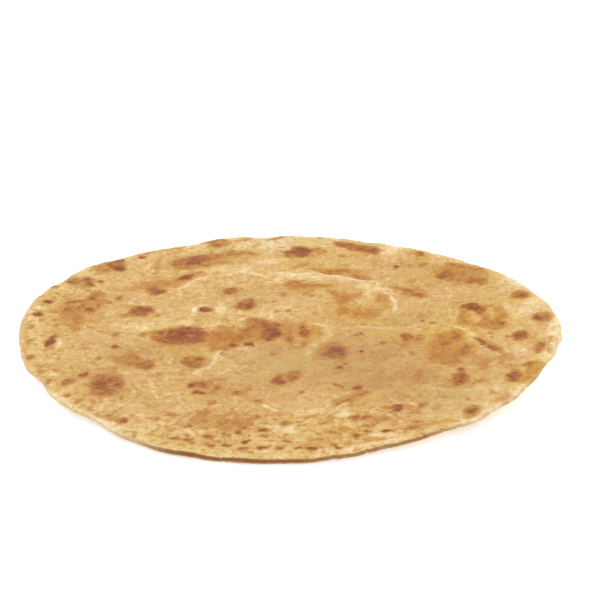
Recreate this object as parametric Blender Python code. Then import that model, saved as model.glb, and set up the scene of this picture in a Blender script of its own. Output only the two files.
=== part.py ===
"""A chapati: one thin, nearly round unleavened flatbread, rolled by hand and
roasted dry, lying as it is served.

The bread is one closed solid.  Its plan is a circle that hand rolling has
left a little uneven.  It rests on a flat round patch in the middle.  From
there it curls gently off the table, most at its left and right ends, a
little at the back and the front right.  Collapsed steam bubbles leave
broad, low plateaus on its upper face.  The sheet thins towards a rounded
rim.

Units are metres, +Z is up.  The origin is on the table, at the middle of
the bread's bounding box.
"""
import math

import bmesh
import bpy

NAME = "chapati"

# ---- plan -------------------------------------------------------------
MEAN_RADIUS = 0.09935
# how the hand-rolled edge departs from a circle: waves round the edge,
# amplitude, direction of the first crest in degrees
EDGE_WAVES = (
    (2, 0.00095, -65.0),
    (3, 0.00084, -31.0),
    (4, 0.00104, -60.0),
    (5, 0.00022, 129.0),
    (6, 0.00026, 129.0),
    (7, 0.00027, 7.0),
    (9, 0.00027, -128.0),
    (10, 0.00033, -80.0),
)
# shallow nicks where the edge cracked: direction, half-width, depth
NICKS = (
    (-15.5, 2.6, 0.0008),
    (-26.5, 4.0, 0.0013),
)

# ---- sheet ------------------------------------------------------------
THICKNESS = 0.0019
RIM_THICKNESS = 0.0012
RIM_TAPER = 0.014          # how far in from the edge the thinning starts

# ---- how it lies ------------------------------------------------------
REST_RADIUS = 0.036        # the flat patch that it lies on
CURL_POWER = 1.9           # how the lift grows outside the flat patch
RIM_GAP = 0.0001           # least gap under the rim
LEFT_CURL = 0.0043
RIGHT_CURL = 0.0072
CURL_FOCUS = 2.55          # how narrow the two curled ends are
BACK_LIFT = 0.0013
FRONT_RIGHT_LIFT = 0.0011
FRONT_RIGHT_AT = -45.0
FRONT_RIGHT_WIDTH = 28.0
# slow ups and downs of the rim: waves round the edge, amplitude, crest
RIM_WAVES = (
    (5, 0.00014, 20.0),
    (8, 0.00010, 75.0),
    (11, 0.00008, -30.0),
)

# ---- collapsed bubbles on the upper face ------------------------------
# middle x, middle y, half-length, half-width, turn in degrees, height
PUFFS = (
    (-0.0050, 0.0200, 0.0450, 0.0350, -3.0, 0.00080),
    (0.0330, 0.0260, 0.0100, 0.0090, 0.0, 0.00110),
    (0.0250, -0.0380, 0.0400, 0.0200, 6.0, 0.00045),
    (-0.0640, -0.0300, 0.0220, 0.0330, -20.0, 0.00040),
    (0.0700, 0.0090, 0.0090, 0.0100, 0.0, 0.00060),
    (0.0100, 0.0760, 0.0400, 0.0110, -3.0, 0.00040),
    (-0.0250, -0.0740, 0.0300, 0.0120, 8.0, 0.00035),
)
PUFF_EDGE = 0.20           # share of a plateau's half-size that is its slope

# ---- mesh -------------------------------------------------------------
AROUND = 112
TOP_RINGS = 17
REST_RINGS = 1
UNDER_RINGS = 8
RIM_STEPS = 4

COLOUR = (0.56, 0.335, 0.13, 1.0)
ROUGHNESS = 0.72


def smooth(t):
    t = min(1.0, max(0.0, t))
    return t * t * (3.0 - 2.0 * t)


def turn_between(a, b):
    """The angle from b to a, in degrees, from -180 to 180."""
    return (a - b + 180.0) % 360.0 - 180.0


def edge_radius(angle):
    """Distance from the middle to the rim's outermost line."""
    r = MEAN_RADIUS
    for k, size, crest in EDGE_WAVES:
        r += size * math.cos(k * angle - math.radians(crest))
    for at, width, depth in NICKS:
        off = turn_between(math.degrees(angle), at) / width
        r -= depth * math.exp(-off * off)
    return r


def rim_lift(angle):
    """How far the rim's underside is off the table."""
    c, s = math.cos(angle), math.sin(angle)
    curl = LEFT_CURL if c < 0 else RIGHT_CURL
    z = RIM_GAP + curl * abs(c) ** CURL_FOCUS + BACK_LIFT * max(s, 0.0) ** 2
    off = turn_between(math.degrees(angle), FRONT_RIGHT_AT) / FRONT_RIGHT_WIDTH
    z += FRONT_RIGHT_LIFT * math.exp(-off * off)
    for k, size, crest in RIM_WAVES:
        z += size * (1.0 + math.cos(k * angle - math.radians(crest)))
    return z


def under_height(angle, r):
    """Height of the underside: flat in the middle, curling up outside."""
    if r <= REST_RADIUS:
        return 0.0
    t = (r - REST_RADIUS) / (edge_radius(angle) - REST_RADIUS)
    return rim_lift(angle) * t ** CURL_POWER


def thickness(angle, r):
    inward = edge_radius(angle) - r
    return RIM_THICKNESS + (THICKNESS - RIM_THICKNESS) * smooth(inward / RIM_TAPER)


def puff_height(x, y):
    z = 0.0
    for px, py, long, wide, turn, height in PUFFS:
        c, s = math.cos(math.radians(turn)), math.sin(math.radians(turn))
        u = ((x - px) * c + (y - py) * s) / long
        v = (-(x - px) * s + (y - py) * c) / wide
        z = max(z, height * smooth((1.0 + PUFF_EDGE - math.hypot(u, v)) / (2 * PUFF_EDGE)))
    return z


def upper_height(angle, r):
    x, y = r * math.cos(angle), r * math.sin(angle)
    fade = smooth((edge_radius(angle) - r) / RIM_TAPER)
    return under_height(angle, r) + thickness(angle, r) + puff_height(x, y) * fade


def point(angle, r, z):
    return (r * math.cos(angle), r * math.sin(angle), z)


def clear_scene():
    for old in list(bpy.context.scene.objects):
        bpy.data.objects.remove(old, do_unlink=True)


def bread_material():
    mat = bpy.data.materials.new("roasted_wheat_dough")
    mat.use_nodes = True
    shader = next(n for n in mat.node_tree.nodes if n.type == "BSDF_PRINCIPLED")
    shader.inputs["Base Color"].default_value = COLOUR
    shader.inputs["Roughness"].default_value = ROUGHNESS
    shader.inputs["Metallic"].default_value = 0.0
    return mat


def chapati():
    bm = bmesh.new()
    angles = [2.0 * math.pi * i / AROUND for i in range(AROUND)]
    half_rim = 0.5 * RIM_THICKNESS

    def ring(make):
        return [bm.verts.new(make(a)) for a in angles]

    loops = []
    # the upper face, from the middle out; rings crowd a little at the rim
    for i in range(1, TOP_RINGS + 1):
        share = math.sin(0.5 * math.pi * i / (TOP_RINGS + 0.6)) ** 0.92
        share = 0.45 * share + 0.55 * i / (TOP_RINGS + 0.35)
        loops.append(ring(lambda a: point(
            a, share * (edge_radius(a) - half_rim),
            upper_height(a, share * (edge_radius(a) - half_rim)))))
    # round the rim
    for i in range(RIM_STEPS + 1):
        bend = math.pi * i / RIM_STEPS
        loops.append(ring(lambda a: point(
            a, edge_radius(a) - half_rim + half_rim * math.sin(bend),
            under_height(a, edge_radius(a)) + half_rim * (1.0 + math.cos(bend)))))
    # the underside, from the rim in to the flat patch
    for i in range(UNDER_RINGS - 1, -1, -1):
        share = (i / UNDER_RINGS) ** 0.9
        loops.append(ring(lambda a: point(
            a, REST_RADIUS + share * (edge_radius(a) - half_rim - REST_RADIUS),
            under_height(a, REST_RADIUS + share * (edge_radius(a) - half_rim - REST_RADIUS)))))

    top = bm.verts.new(point(0.0, 0.0, upper_height(0.0, 0.0)))
    for j in range(AROUND):
        k = (j + 1) % AROUND
        bm.faces.new((top, loops[0][j], loops[0][k]))
        for inner, outer in zip(loops, loops[1:]):
            bm.faces.new((inner[j], outer[j], outer[k], inner[k]))
    bm.faces.new(list(reversed(loops[-1])))

    # the origin is under the middle of the bounding box
    xs = [v.co.x for v in bm.verts]
    ys = [v.co.y for v in bm.verts]
    mid = (0.5 * (min(xs) + max(xs)), 0.5 * (min(ys) + max(ys)))
    for v in bm.verts:
        v.co.x -= mid[0]
        v.co.y -= mid[1]
    bmesh.ops.recalc_face_normals(bm, faces=bm.faces)

    mesh = bpy.data.meshes.new(NAME)
    bm.to_mesh(mesh)
    bm.free()
    mesh.shade_smooth()
    mesh.set_sharp_from_angle(angle=math.radians(50.0))
    obj = bpy.data.objects.new(NAME, mesh)
    bpy.context.scene.collection.objects.link(obj)
    mesh.materials.append(bread_material())
    return obj


clear_scene()
chapati()
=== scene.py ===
import math

import bpy
import numpy as np
from mathutils import Matrix, Vector


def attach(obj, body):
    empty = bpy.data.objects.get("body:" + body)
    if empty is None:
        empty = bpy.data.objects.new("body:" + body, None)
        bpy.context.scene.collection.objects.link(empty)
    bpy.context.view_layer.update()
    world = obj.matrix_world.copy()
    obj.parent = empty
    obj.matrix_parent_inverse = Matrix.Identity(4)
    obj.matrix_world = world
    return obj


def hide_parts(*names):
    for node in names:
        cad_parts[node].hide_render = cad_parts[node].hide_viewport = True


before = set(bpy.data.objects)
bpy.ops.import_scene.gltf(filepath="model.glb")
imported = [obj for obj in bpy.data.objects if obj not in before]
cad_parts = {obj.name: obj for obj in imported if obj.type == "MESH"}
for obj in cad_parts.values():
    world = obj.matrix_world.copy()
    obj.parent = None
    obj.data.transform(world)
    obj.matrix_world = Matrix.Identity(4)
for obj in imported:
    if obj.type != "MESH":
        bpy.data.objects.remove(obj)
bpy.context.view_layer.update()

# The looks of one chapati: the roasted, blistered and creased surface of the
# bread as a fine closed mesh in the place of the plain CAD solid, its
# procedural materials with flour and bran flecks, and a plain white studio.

MM = 0.001

# =========================================================================
# 1. The form of the bread, as the CAD solid has it
# =========================================================================
MEAN_RADIUS = 0.09935
EDGE_WAVES = (
    (2, 0.00095, -65.0), (3, 0.00084, -31.0), (4, 0.00104, -60.0),
    (5, 0.00022, 129.0), (6, 0.00026, 129.0), (7, 0.00027, 7.0),
    (9, 0.00027, -128.0), (10, 0.00033, -80.0),
)
NICKS = ((-15.5, 2.6, 0.0008), (-26.5, 4.0, 0.0013))
THICKNESS = 0.0019
RIM_THICKNESS = 0.0012
RIM_TAPER = 0.014
REST_RADIUS = 0.036
CURL_POWER = 1.9
RIM_GAP = 0.0001
LEFT_CURL = 0.0043
RIGHT_CURL = 0.0072
CURL_FOCUS = 2.55
BACK_LIFT = 0.0013
FRONT_RIGHT_LIFT = 0.0011
FRONT_RIGHT_AT = -45.0
FRONT_RIGHT_WIDTH = 28.0
RIM_WAVES = ((5, 0.00014, 20.0), (8, 0.00010, 75.0), (11, 0.00008, -30.0))
PUFFS = (
    (-0.0050, 0.0200, 0.0450, 0.0350, -3.0, 0.00080),
    (0.0330, 0.0260, 0.0100, 0.0090, 0.0, 0.00110),
    (0.0250, -0.0380, 0.0400, 0.0200, 6.0, 0.00045),
    (-0.0640, -0.0300, 0.0220, 0.0330, -20.0, 0.00040),
    (0.0700, 0.0090, 0.0090, 0.0100, 0.0, 0.00060),
    (0.0100, 0.0760, 0.0400, 0.0110, -3.0, 0.00040),
    (-0.0250, -0.0740, 0.0300, 0.0120, 8.0, 0.00035),
)
PUFF_EDGE = 0.20
CAD_AROUND = 112


def smooth(t):
    t = np.clip(t, 0.0, 1.0)
    return t * t * (3.0 - 2.0 * t)


def turn_between(a, b):
    return (a - b + 180.0) % 360.0 - 180.0


def edge_radius(angle):
    r = np.full_like(angle, MEAN_RADIUS)
    for k, size, crest in EDGE_WAVES:
        r += size * np.cos(k * angle - math.radians(crest))
    for at, width, depth in NICKS:
        off = turn_between(np.degrees(angle), at) / width
        r -= depth * np.exp(-off * off)
    return r


def rim_lift(angle):
    c, s = np.cos(angle), np.sin(angle)
    curl = np.where(c < 0, LEFT_CURL, RIGHT_CURL)
    z = RIM_GAP + curl * np.abs(c) ** CURL_FOCUS + BACK_LIFT * np.maximum(s, 0.0) ** 2
    off = turn_between(np.degrees(angle), FRONT_RIGHT_AT) / FRONT_RIGHT_WIDTH
    z = z + FRONT_RIGHT_LIFT * np.exp(-off * off)
    for k, size, crest in RIM_WAVES:
        z = z + size * (1.0 + np.cos(k * angle - math.radians(crest)))
    return z


# the CAD solid's plan is centred on its own box; this is that shift
_around = np.arange(CAD_AROUND) * 2.0 * math.pi / CAD_AROUND
_edge = edge_radius(_around)
_xs, _ys = _edge * np.cos(_around), _edge * np.sin(_around)
SHIFT_X = 0.5 * (_xs.min() + _xs.max())
SHIFT_Y = 0.5 * (_ys.min() + _ys.max())


# =========================================================================
# 2. Noise for the hand-made unevenness, seeded
# =========================================================================
class Noise:
    """Smooth noise on the plane, about -1 to 1."""

    def __init__(self, seed):
        rng = np.random.default_rng(seed)
        self.table = np.concatenate([rng.permutation(256)] * 3)
        turn = rng.uniform(0.0, 2.0 * np.pi, 256)
        self.gx, self.gy = np.cos(turn), np.sin(turn)

    def at(self, x, y):
        xi, yi = np.floor(x).astype(np.int64), np.floor(y).astype(np.int64)
        xf, yf = x - xi, y - yi
        u = xf * xf * xf * (xf * (xf * 6.0 - 15.0) + 10.0)
        v = yf * yf * yf * (yf * (yf * 6.0 - 15.0) + 10.0)

        def corner(i, j):
            h = self.table[self.table[(xi + i) & 255] + ((yi + j) & 255)]
            return self.gx[h] * (xf - i) + self.gy[h] * (yf - j)

        low = corner(0, 0) * (1 - u) + corner(1, 0) * u
        high = corner(0, 1) * (1 - u) + corner(1, 1) * u
        return 1.5 * (low * (1 - v) + high * v)

    def layers(self, x, y, size, octaves=3, fall=0.55):
        total, amount, sum_ = 0.0, 1.0, 0.0
        for k in range(octaves):
            total = total + amount * self.at(x / size + 17.3 * k, y / size - 9.1 * k)
            sum_ += amount
            amount *= fall
            size /= 2.07
        return total / sum_ * 1.35


# =========================================================================
# 3. The marks on the upper face.  Millimetres from the middle, x to the
#    right, y away from the front; long, wide and turn are an oval's half
#    sizes and its angle; strength 1 is a fully browned mark.
# =========================================================================
# toasted spots: x, y, long, wide, turn, strength
SPOTS = (
    # back left
    (-41.5, 67, 8.6, 5.6, 62, 0.82), (-37, 72.2, 4.8, 3.8, 45, 0.76), (-31.5, 67.8, 6.6, 3.2, 20, 0.62), (-52.5, 37.5, 4.2, 3.8, -30, 1.00),
    (-70.8, 60.5, 6.4, 3.9, -62, 1.00), (-73.5, 61.5, 3.0, 2.2, -50, 0.80), (-68.5, 57, 1.8, 1.6, 0, 0.85), (-70, 66, 1.7, 1.4, 0, 0.95),
    (-61.5, 71.5, 1.9, 1.4, 60, 0.95), (-76.5, 57, 4.8, 3.6, -50, 0.58), (-41, 51.5, 3.8, 1.7, 30, 1.00),
    (-86.8, 43.3, 3.4, 2.5, 80, 1.00), (-83.8, 40.8, 3.2, 2.6, 0, 0.76), (-81.6, 44.8, 3.4, 2.4, 70, 0.92),
    (-80, 40, 2.3, 2.1, 0, 1.00), (-75, 43.5, 1.6, 1.3, 80, 0.90), (-92, 35.5, 1.5, 1.4, 0, 0.90),
    (-97, 26.5, 1.4, 1.3, 70, 0.50), (-93, 20.5, 2.0, 1.8, 0, 1.00), (-76.6, 28.2, 4.6, 2.8, 75, 0.70),
    (-72, 26.5, 2.0, 1.6, 0, 0.50), (-70, 24.5, 2.0, 1.6, 30, 0.50), (-66, 29, 3.2, 1.3, 75, 0.58),
    (-77, 22.5, 6.0, 4.0, 10, 0.30), (-83, 21, 3.4, 1.5, 40, 0.68), (-80, 16.5, 3.0, 1.4, 70, 0.62),
    (-84.5, 14, 3.2, 1.5, 60, 0.60), (-79.5, 5, 3.2, 1.4, 80, 0.60), (-88, 5, 2.2, 1.2, 60, 0.44),
    (-73, 20, 2.6, 1.2, 60, 0.46), (-87, -1, 2.4, 1.0, 80, 0.40), (-29.5, 89.5, 5.4, 4.0, 75, 0.98), (-34, 91.5, 3.8, 2.0, 20, 0.66),
    (-23, 80, 1.5, 1.2, 0, 0.70), (-23, 37.5, 3.7, 2.8, 80, 0.94), (-80, 33.5, 1.3, 1.1, 0, 0.50),
    (-50, 46, 1.6, 1.2, 0, 0.45), (-60, 54, 1.3, 1.0, 0, 0.30),
    # back middle
    (5.2, 78.6, 5.8, 5.0, 90, 1.00), (-0.6, 76.5, 3.6, 2.6, 90, 0.80), (11.5, 80, 3.2, 1.7, 80, 0.62),
    (33.8, 79.6, 5.6, 4.8, -45, 0.86), (24, 86.6, 4.8, 3.8, -10, 1.02), (29, 83.6, 5.2, 4.6, -38, 0.94),
    (22, 74.5, 2.2, 1.6, 0, 0.42), (14, 77, 3.0, 1.4, 70, 0.34), (17, 59.5, 6.2, 2.6, -10, 0.50),
    (18.5, 57, 4.0, 2.0, -15, 0.50), (44, 61.5, 1.8, 1.3, 80, 0.95), (54.7, 73.3, 3.1, 2.0, 88, 0.84),
    (55.5, 62, 3.0, 1.7, 75, 0.58), (2, 44.6, 4.2, 3.0, 70, 0.62), (6.5, 41.4, 4.6, 2.8, 0, 0.54),
    (13, 40.8, 4.6, 2.0, 0, 0.50), (-2, 34, 2.4, 1.2, 70, 0.36), (10, 32.5, 1.4, 1.2, 0, 0.45),
    (18, 34, 2.0, 1.8, 0, 0.45), (22, 29, 5.2, 2.4, 80, 0.58), (27, 32.5, 3.0, 1.4, 80, 0.40),
    (20.5, 17, 4.6, 1.8, 80, 0.48), (26, 16, 4.0, 1.6, 80, 0.44), (31, 13.5, 4.5, 3.2, 80, 0.46),
    (36, 28, 3.4, 1.8, 80, 0.34), (-16.3, 24, 5.2, 3.9, 60, 0.78),
    # right, behind
    (63, 48.3, 4.4, 3.6, 70, 0.94), (66.4, 44.6, 4.2, 3.4, 0, 0.64), (70.5, 42, 4.4, 3.0, -35, 0.56),
    (77, 37.5, 4.0, 2.4, 80, 0.80), (73.5, 39.5, 2.8, 2.0, 0, 0.70), (67, 54, 4.0, 2.6, 60, 0.40), (70, 50.5, 9.0, 5.4, -40, 0.48), (75, 45, 5.0, 4.0, -40, 0.44),
    (89.5, 21.4, 4.0, 3.5, 80, 0.83), (51.5, 11, 2.2, 1.7, 0, 0.46), (55, 5, 1.4, 1.1, 0, 0.36),
    (29, 3.5, 1.4, 1.1, 0, 0.45), (69.6, 15.6, 3.5, 3.2, -30, 0.92), (72.8, 12.5, 3.6, 2.2, -60, 0.92),
    (78.5, -1, 3.6, 2.6, 80, 0.70), (80, 9.5, 3.8, 1.5, 80, 0.37), (81, 4, 3.2, 1.3, 80, 0.35), (77, -3, 4.6, 3.2, 0, 0.66),
    (66, 21, 1.8, 1.2, 0, 0.40), (50, 47, 2.2, 1.4, 60, 0.24),
    # left
    (-56.8, 17, 5.4, 4.3, 78, 1.00), (-62, 12.5, 2.6, 1.4, 60, 0.50), (-31, 18, 2.7, 2.2, 0, 1.05),
    (-76, 15.5, 2.5, 2.2, 0, 0.82), (-84, 11.5, 3.2, 2.2, 20, 0.36), (-81, 8.5, 4.0, 1.5, 80, 0.34),
    (-95, 9.5, 2.3, 1.9, 80, 0.98), (-90, 12, 2.0, 1.0, 0, 0.50), (-96, -3, 2.0, 1.3, 70, 0.74),
    (-93, 3, 1.2, 1.0, 0, 0.45), (-86.8, -15, 5.6, 1.9, 86, 0.98), (-86, -22, 1.6, 1.2, 0, 0.45),
    (-44.4, -5.2, 6.4, 7.7, 0, 0.75), (-36.6, -4.8, 6.4, 7.9, 0, 0.90), (-40.5, -5, 6.0, 8.0, 0, 0.56), (-45.5, -3.5, 3.4, 4.0, 10, 0.62),
    (-42, -9.5, 6.0, 2.6, 0, 0.40), (-53, -5.5, 2.4, 1.8, 80, 0.50), (-64, -5.5, 1.8, 1.5, 0, 0.52),
    (-64, -17, 2.3, 1.5, 80, 0.80), (-70, -2.5, 1.3, 1.1, 0, 0.40), (-79, -3, 2.0, 1.1, 80, 0.46),
    (-34.2, -26.5, 5.2, 4.4, 75, 0.92), (-51, -31.5, 4.2, 3.2, 75, 0.84), (-57, -28, 5.0, 4.6, 20, 0.46),
    (-57, -23, 2.6, 1.6, 80, 0.36), (-63, -49.6, 9.0, 5.8, 84, 0.84), (-63, -42, 4.4, 3.8, 20, 0.10),
    (-71.5, -42, 2.6, 1.8, 60, 0.86), (-76.5, -48, 3.2, 2.0, 70, 0.68), (-83.8, -48, 2.6, 1.3, 80, 0.86),
    (-88, -36, 1.7, 1.4, 0, 0.70), (-86.5, -41, 2.2, 1.7, 70, 0.60), (-94.5, -17, 3.0, 1.3, 84, 0.70),
    (-93, -28.5, 2.6, 1.2, 80, 0.66), (-68, -27, 1.8, 1.0, 80, 0.44), (-46, -38, 1.2, 1.0, 0, 0.30),
    (-30.8, -45.6, 4.0, 2.4, 4, 0.74), (-33.4, -47.6, 2.2, 1.3, 70, 0.66), (-30.8, -47.8, 3.2, 1.9, 0, 0.68),
    (-31, -52.5, 2.4, 1.6, 0, 0.78),
    (-25, -47.5, 2.6, 1.0, 60, 0.44),
    # middle
    (-11.5, 7.3, 4.6, 2.6, -20, 0.80), (-7, 3, 4.2, 3.6, 0, 0.92), (-6.2, -4, 6.2, 3.9, 76, 1.00), (-12, -1.5, 6.4, 5.0, 80, 0.58),
    (-16.5, -4.5, 6.0, 2.2, 86, 0.58), (-24, -4.6, 5.0, 4.2, 84, 0.66), (-18, -8, 5.0, 4.0, 0, 0.46), (-26.5, -11, 4.6, 2.2, 80, 0.46),
    (-20.2, -13.5, 2.2, 1.3, 0, 0.85), (-14.5, -13, 1.8, 1.6, 0, 1.05), (6.5, -12, 2.2, 1.2, 60, 0.50),
    (16.2, -18, 7.6, 4.9, 84, 0.62), (13.4, -21.5, 6.4, 4.6, 84, 0.44), (17.2, -21.3, 6.4, 4.0, 84, 0.66), (28, -19, 1.2, 1.0, 80, 0.70),
    (27, -3.5, 1.4, 1.0, 80, 0.50), (35, -10.5, 1.2, 0.9, 60, 0.55), (19.3, -30.5, 1.3, 0.9, 80, 0.64),
    (17.6, -33.5, 1.5, 1.0, 0, 0.62), (32, -26, 1.0, 0.8, 0, 0.30), (0, 17.5, 1.5, 1.1, 80, 0.46),
    (-17.5, -36.5, 1.3, 1.0, 0, 0.52), (-5.5, -21, 1.6, 1.0, 0, 0.50), (-24, -20.5, 1.6, 0.9, 70, 0.42),
    (10.5, 15, 2.4, 1.4, 80, 0.28), (44, -6.5, 4.2, 2.6, 76, 0.78), (49, -7.5, 3.2, 2.0, 76, 0.60),
    (43, -13, 2.6, 1.8, 70, 0.34), (45, -22, 3.2, 1.0, 84, 0.40), (-3.3, -44, 3.6, 3.0, 80, 0.92),
    (-3, -39.5, 2.4, 1.8, 0, 0.55), (2.5, -39.5, 4.4, 2.8, 84, 0.76), (24, -50, 3.2, 2.2, 80, 0.74),
    (17, -47, 2.4, 1.3, -30, 0.56), (4.5, -52.5, 1.3, 1.1, 60, 0.66), (-18, -51.5, 1.9, 1.5, 0, 0.52),
    (-26, -59.5, 2.2, 1.6, 70, 0.38), (-11, -57.5, 1.8, 1.2, 0, 0.50), (46, -41, 4.0, 1.4, 84, 0.26),
    # right
    (94.8, -1.5, 4.6, 3.4, 60, 0.84), (85.2, -15.5, 4.4, 3.0, 72, 0.98), (90, -27.5, 3.8, 1.9, 70, 0.80),
    (58.5, -9.5, 6.0, 4.2, 84, 0.42), (61.3, -8, 4.6, 1.8, 88, 0.50), (64.2, -21, 5.4, 2.1, 88, 0.70),
    (58, -22, 9.0, 5.6, 86, 0.31), (86.5, -46, 7.6, 2.8, 62, 0.30), (5.4, -1.8, 4.4, 1.9, 82, 0.74), (48.5, 35.6, 6.4, 2.4, -50, 0.50),
    (54, -21.5, 5.0, 2.6, 84, 0.56), (56.5, -29, 3.2, 2.0, 84, 0.54), (60.5, -30.5, 3.4, 1.6, 84, 0.50),
    (61, -39.5, 3.2, 1.6, 84, 0.66), (60, -46.5, 4.8, 3.2, 82, 0.92), (66.5, -49.5, 2.0, 1.6, 0, 0.44),
    (69, -36, 5.0, 1.8, 86, 0.36), (78.3, -49, 5.2, 2.7, 74, 0.96), (84.5, -40.5, 3.4, 2.2, 66, 0.74),
    (76, -33, 4.0, 1.6, 84, 0.30), (97.2, -13, 2.6, 1.0, 80, 0.26), (95.6, -21, 2.6, 1.2, 75, 0.38),
    (93.3, -31, 2.4, 1.2, 70, 0.38), (88, -52, 2.6, 1.2, 58, 0.36), (80, -60, 2.6, 1.2, 48, 0.36),
    (73, -68, 2.2, 1.2, 42, 0.36), (66, -74, 2.0, 1.1, 36, 0.32), (91.5, -24, 1.6, 1.1, 70, 0.34), (76, -64.5, 1.2, 0.9, 0, 0.36),
    # front left
    (-75, -58, 1.6, 1.1, 70, 0.55), (-71, -61, 1.6, 1.1, 70, 0.50), (-66, -67, 1.2, 1.0, 0, 0.46),
    (-69, -64, 1.0, 0.8, 0, 0.40), (-55, -74, 2.2, 1.6, 20, 0.78), (-60, -71.5, 1.6, 1.1, 0, 0.46),
    (-52, -71.5, 1.0, 0.8, 0, 0.36), (-43, -73, 1.7, 1.1, 60, 0.42), (-38, -69.5, 1.8, 1.1, 0, 0.44),
    (-50, -84, 2.4, 0.9, 84, 0.72), (-45, -83, 1.0, 0.9, 0, 0.40), (-28, -68.5, 3.4, 2.4, 80, 0.50),
    (-33, -77.5, 1.6, 1.2, 0, 0.66), (-22, -76.5, 4.6, 2.8, 80, 0.46), (-15.5, -75.5, 3.4, 2.8, 70, 0.56),
    (-30, -73, 3.4, 2.0, 80, 0.38), (-17, -80.5, 1.9, 1.1, 60, 0.66), (-8, -81, 2.0, 1.0, 0, 0.86),
    (-10, -72, 2.2, 1.4, 0, 0.46), (-1.5, -75.5, 1.6, 1.3, 60, 0.70), (-26, -84.5, 1.2, 1.0, 70, 0.66),
    (-36.5, -86, 2.6, 0.9, -6, 0.66), (-31.5, -86.5, 2.0, 1.0, 0, 0.62), (-21, -83, 1.3, 1.0, 0, 0.52),
    (-25.3, -89.5, 2.2, 1.3, 0, 0.84), (-20, -89, 1.4, 1.0, 0, 0.62), (-13.2, -88, 1.4, 1.2, 0, 1.00),
    (-14.2, -91.8, 2.2, 1.0, 0, 0.70), (-8.5, -91.8, 1.5, 1.1, 0, 0.95), (-3.5, -92, 1.2, 1.0, 70, 0.85),
    (-12, -94.5, 1.0, 0.8, 0, 0.55), (-39, -89.5, 1.4, 0.8, 0, 0.45), (-44, -87.5, 1.2, 0.7, 0, 0.40),
    # front
    (37.3, -65.5, 3.4, 2.2, 80, 0.92), (46, -64, 3.2, 1.8, 76, 0.56), (50, -66, 2.2, 1.2, 76, 0.36),
    (33.5, -66, 1.8, 1.3, 0, 0.50), (43, -70, 1.6, 1.3, 0, 0.46), (21.8, -72.3, 2.3, 1.9, 0, 0.92),
    (26, -72, 2.0, 1.6, 0, 0.80), (31, -73.5, 3.6, 2.0, 0, 0.62), (27, -78.5, 1.8, 1.3, 0, 0.58),
    (8, -70.5, 1.6, 1.2, 0, 0.40), (3, -73.5, 1.2, 1.0, 0, 0.36), (-7, -84.5, 1.3, 1.0, 0, 0.46),
    (-0.5, -87.5, 1.3, 1.0, 0, 0.62), (-1, -82, 1.0, 0.8, 0, 0.44), (14.5, -81, 1.4, 1.0, 0, 0.46),
    (14.5, -90.3, 1.5, 1.0, 0, 0.66), (16, -92.2, 1.6, 1.1, 0, 0.76), (3.5, -93, 1.6, 1.2, 0, 0.95),
    (7.6, -93.3, 1.7, 1.2, 0, 0.85), (22.3, -84.5, 1.6, 1.2, 60, 0.74), (32, -82.5, 2.2, 1.0, 0, 0.90),
    (41, -81.8, 2.6, 1.3, 0, 0.74), (26, -82, 1.2, 0.9, 0, 0.60), (25, -88, 1.3, 1.1, 0, 0.50),
    (43, -77.5, 1.4, 1.1, 0, 0.40), (35, -78, 1.4, 1.1, 0, 0.40), (61, -71.8, 3.6, 2.8, 60, 0.88),
    (53, -77, 1.6, 1.0, 20, 0.40), (10, -86.5, 1.2, 0.9, 0, 0.46), (30, -87.5, 1.4, 0.9, 10, 0.40),
)
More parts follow.
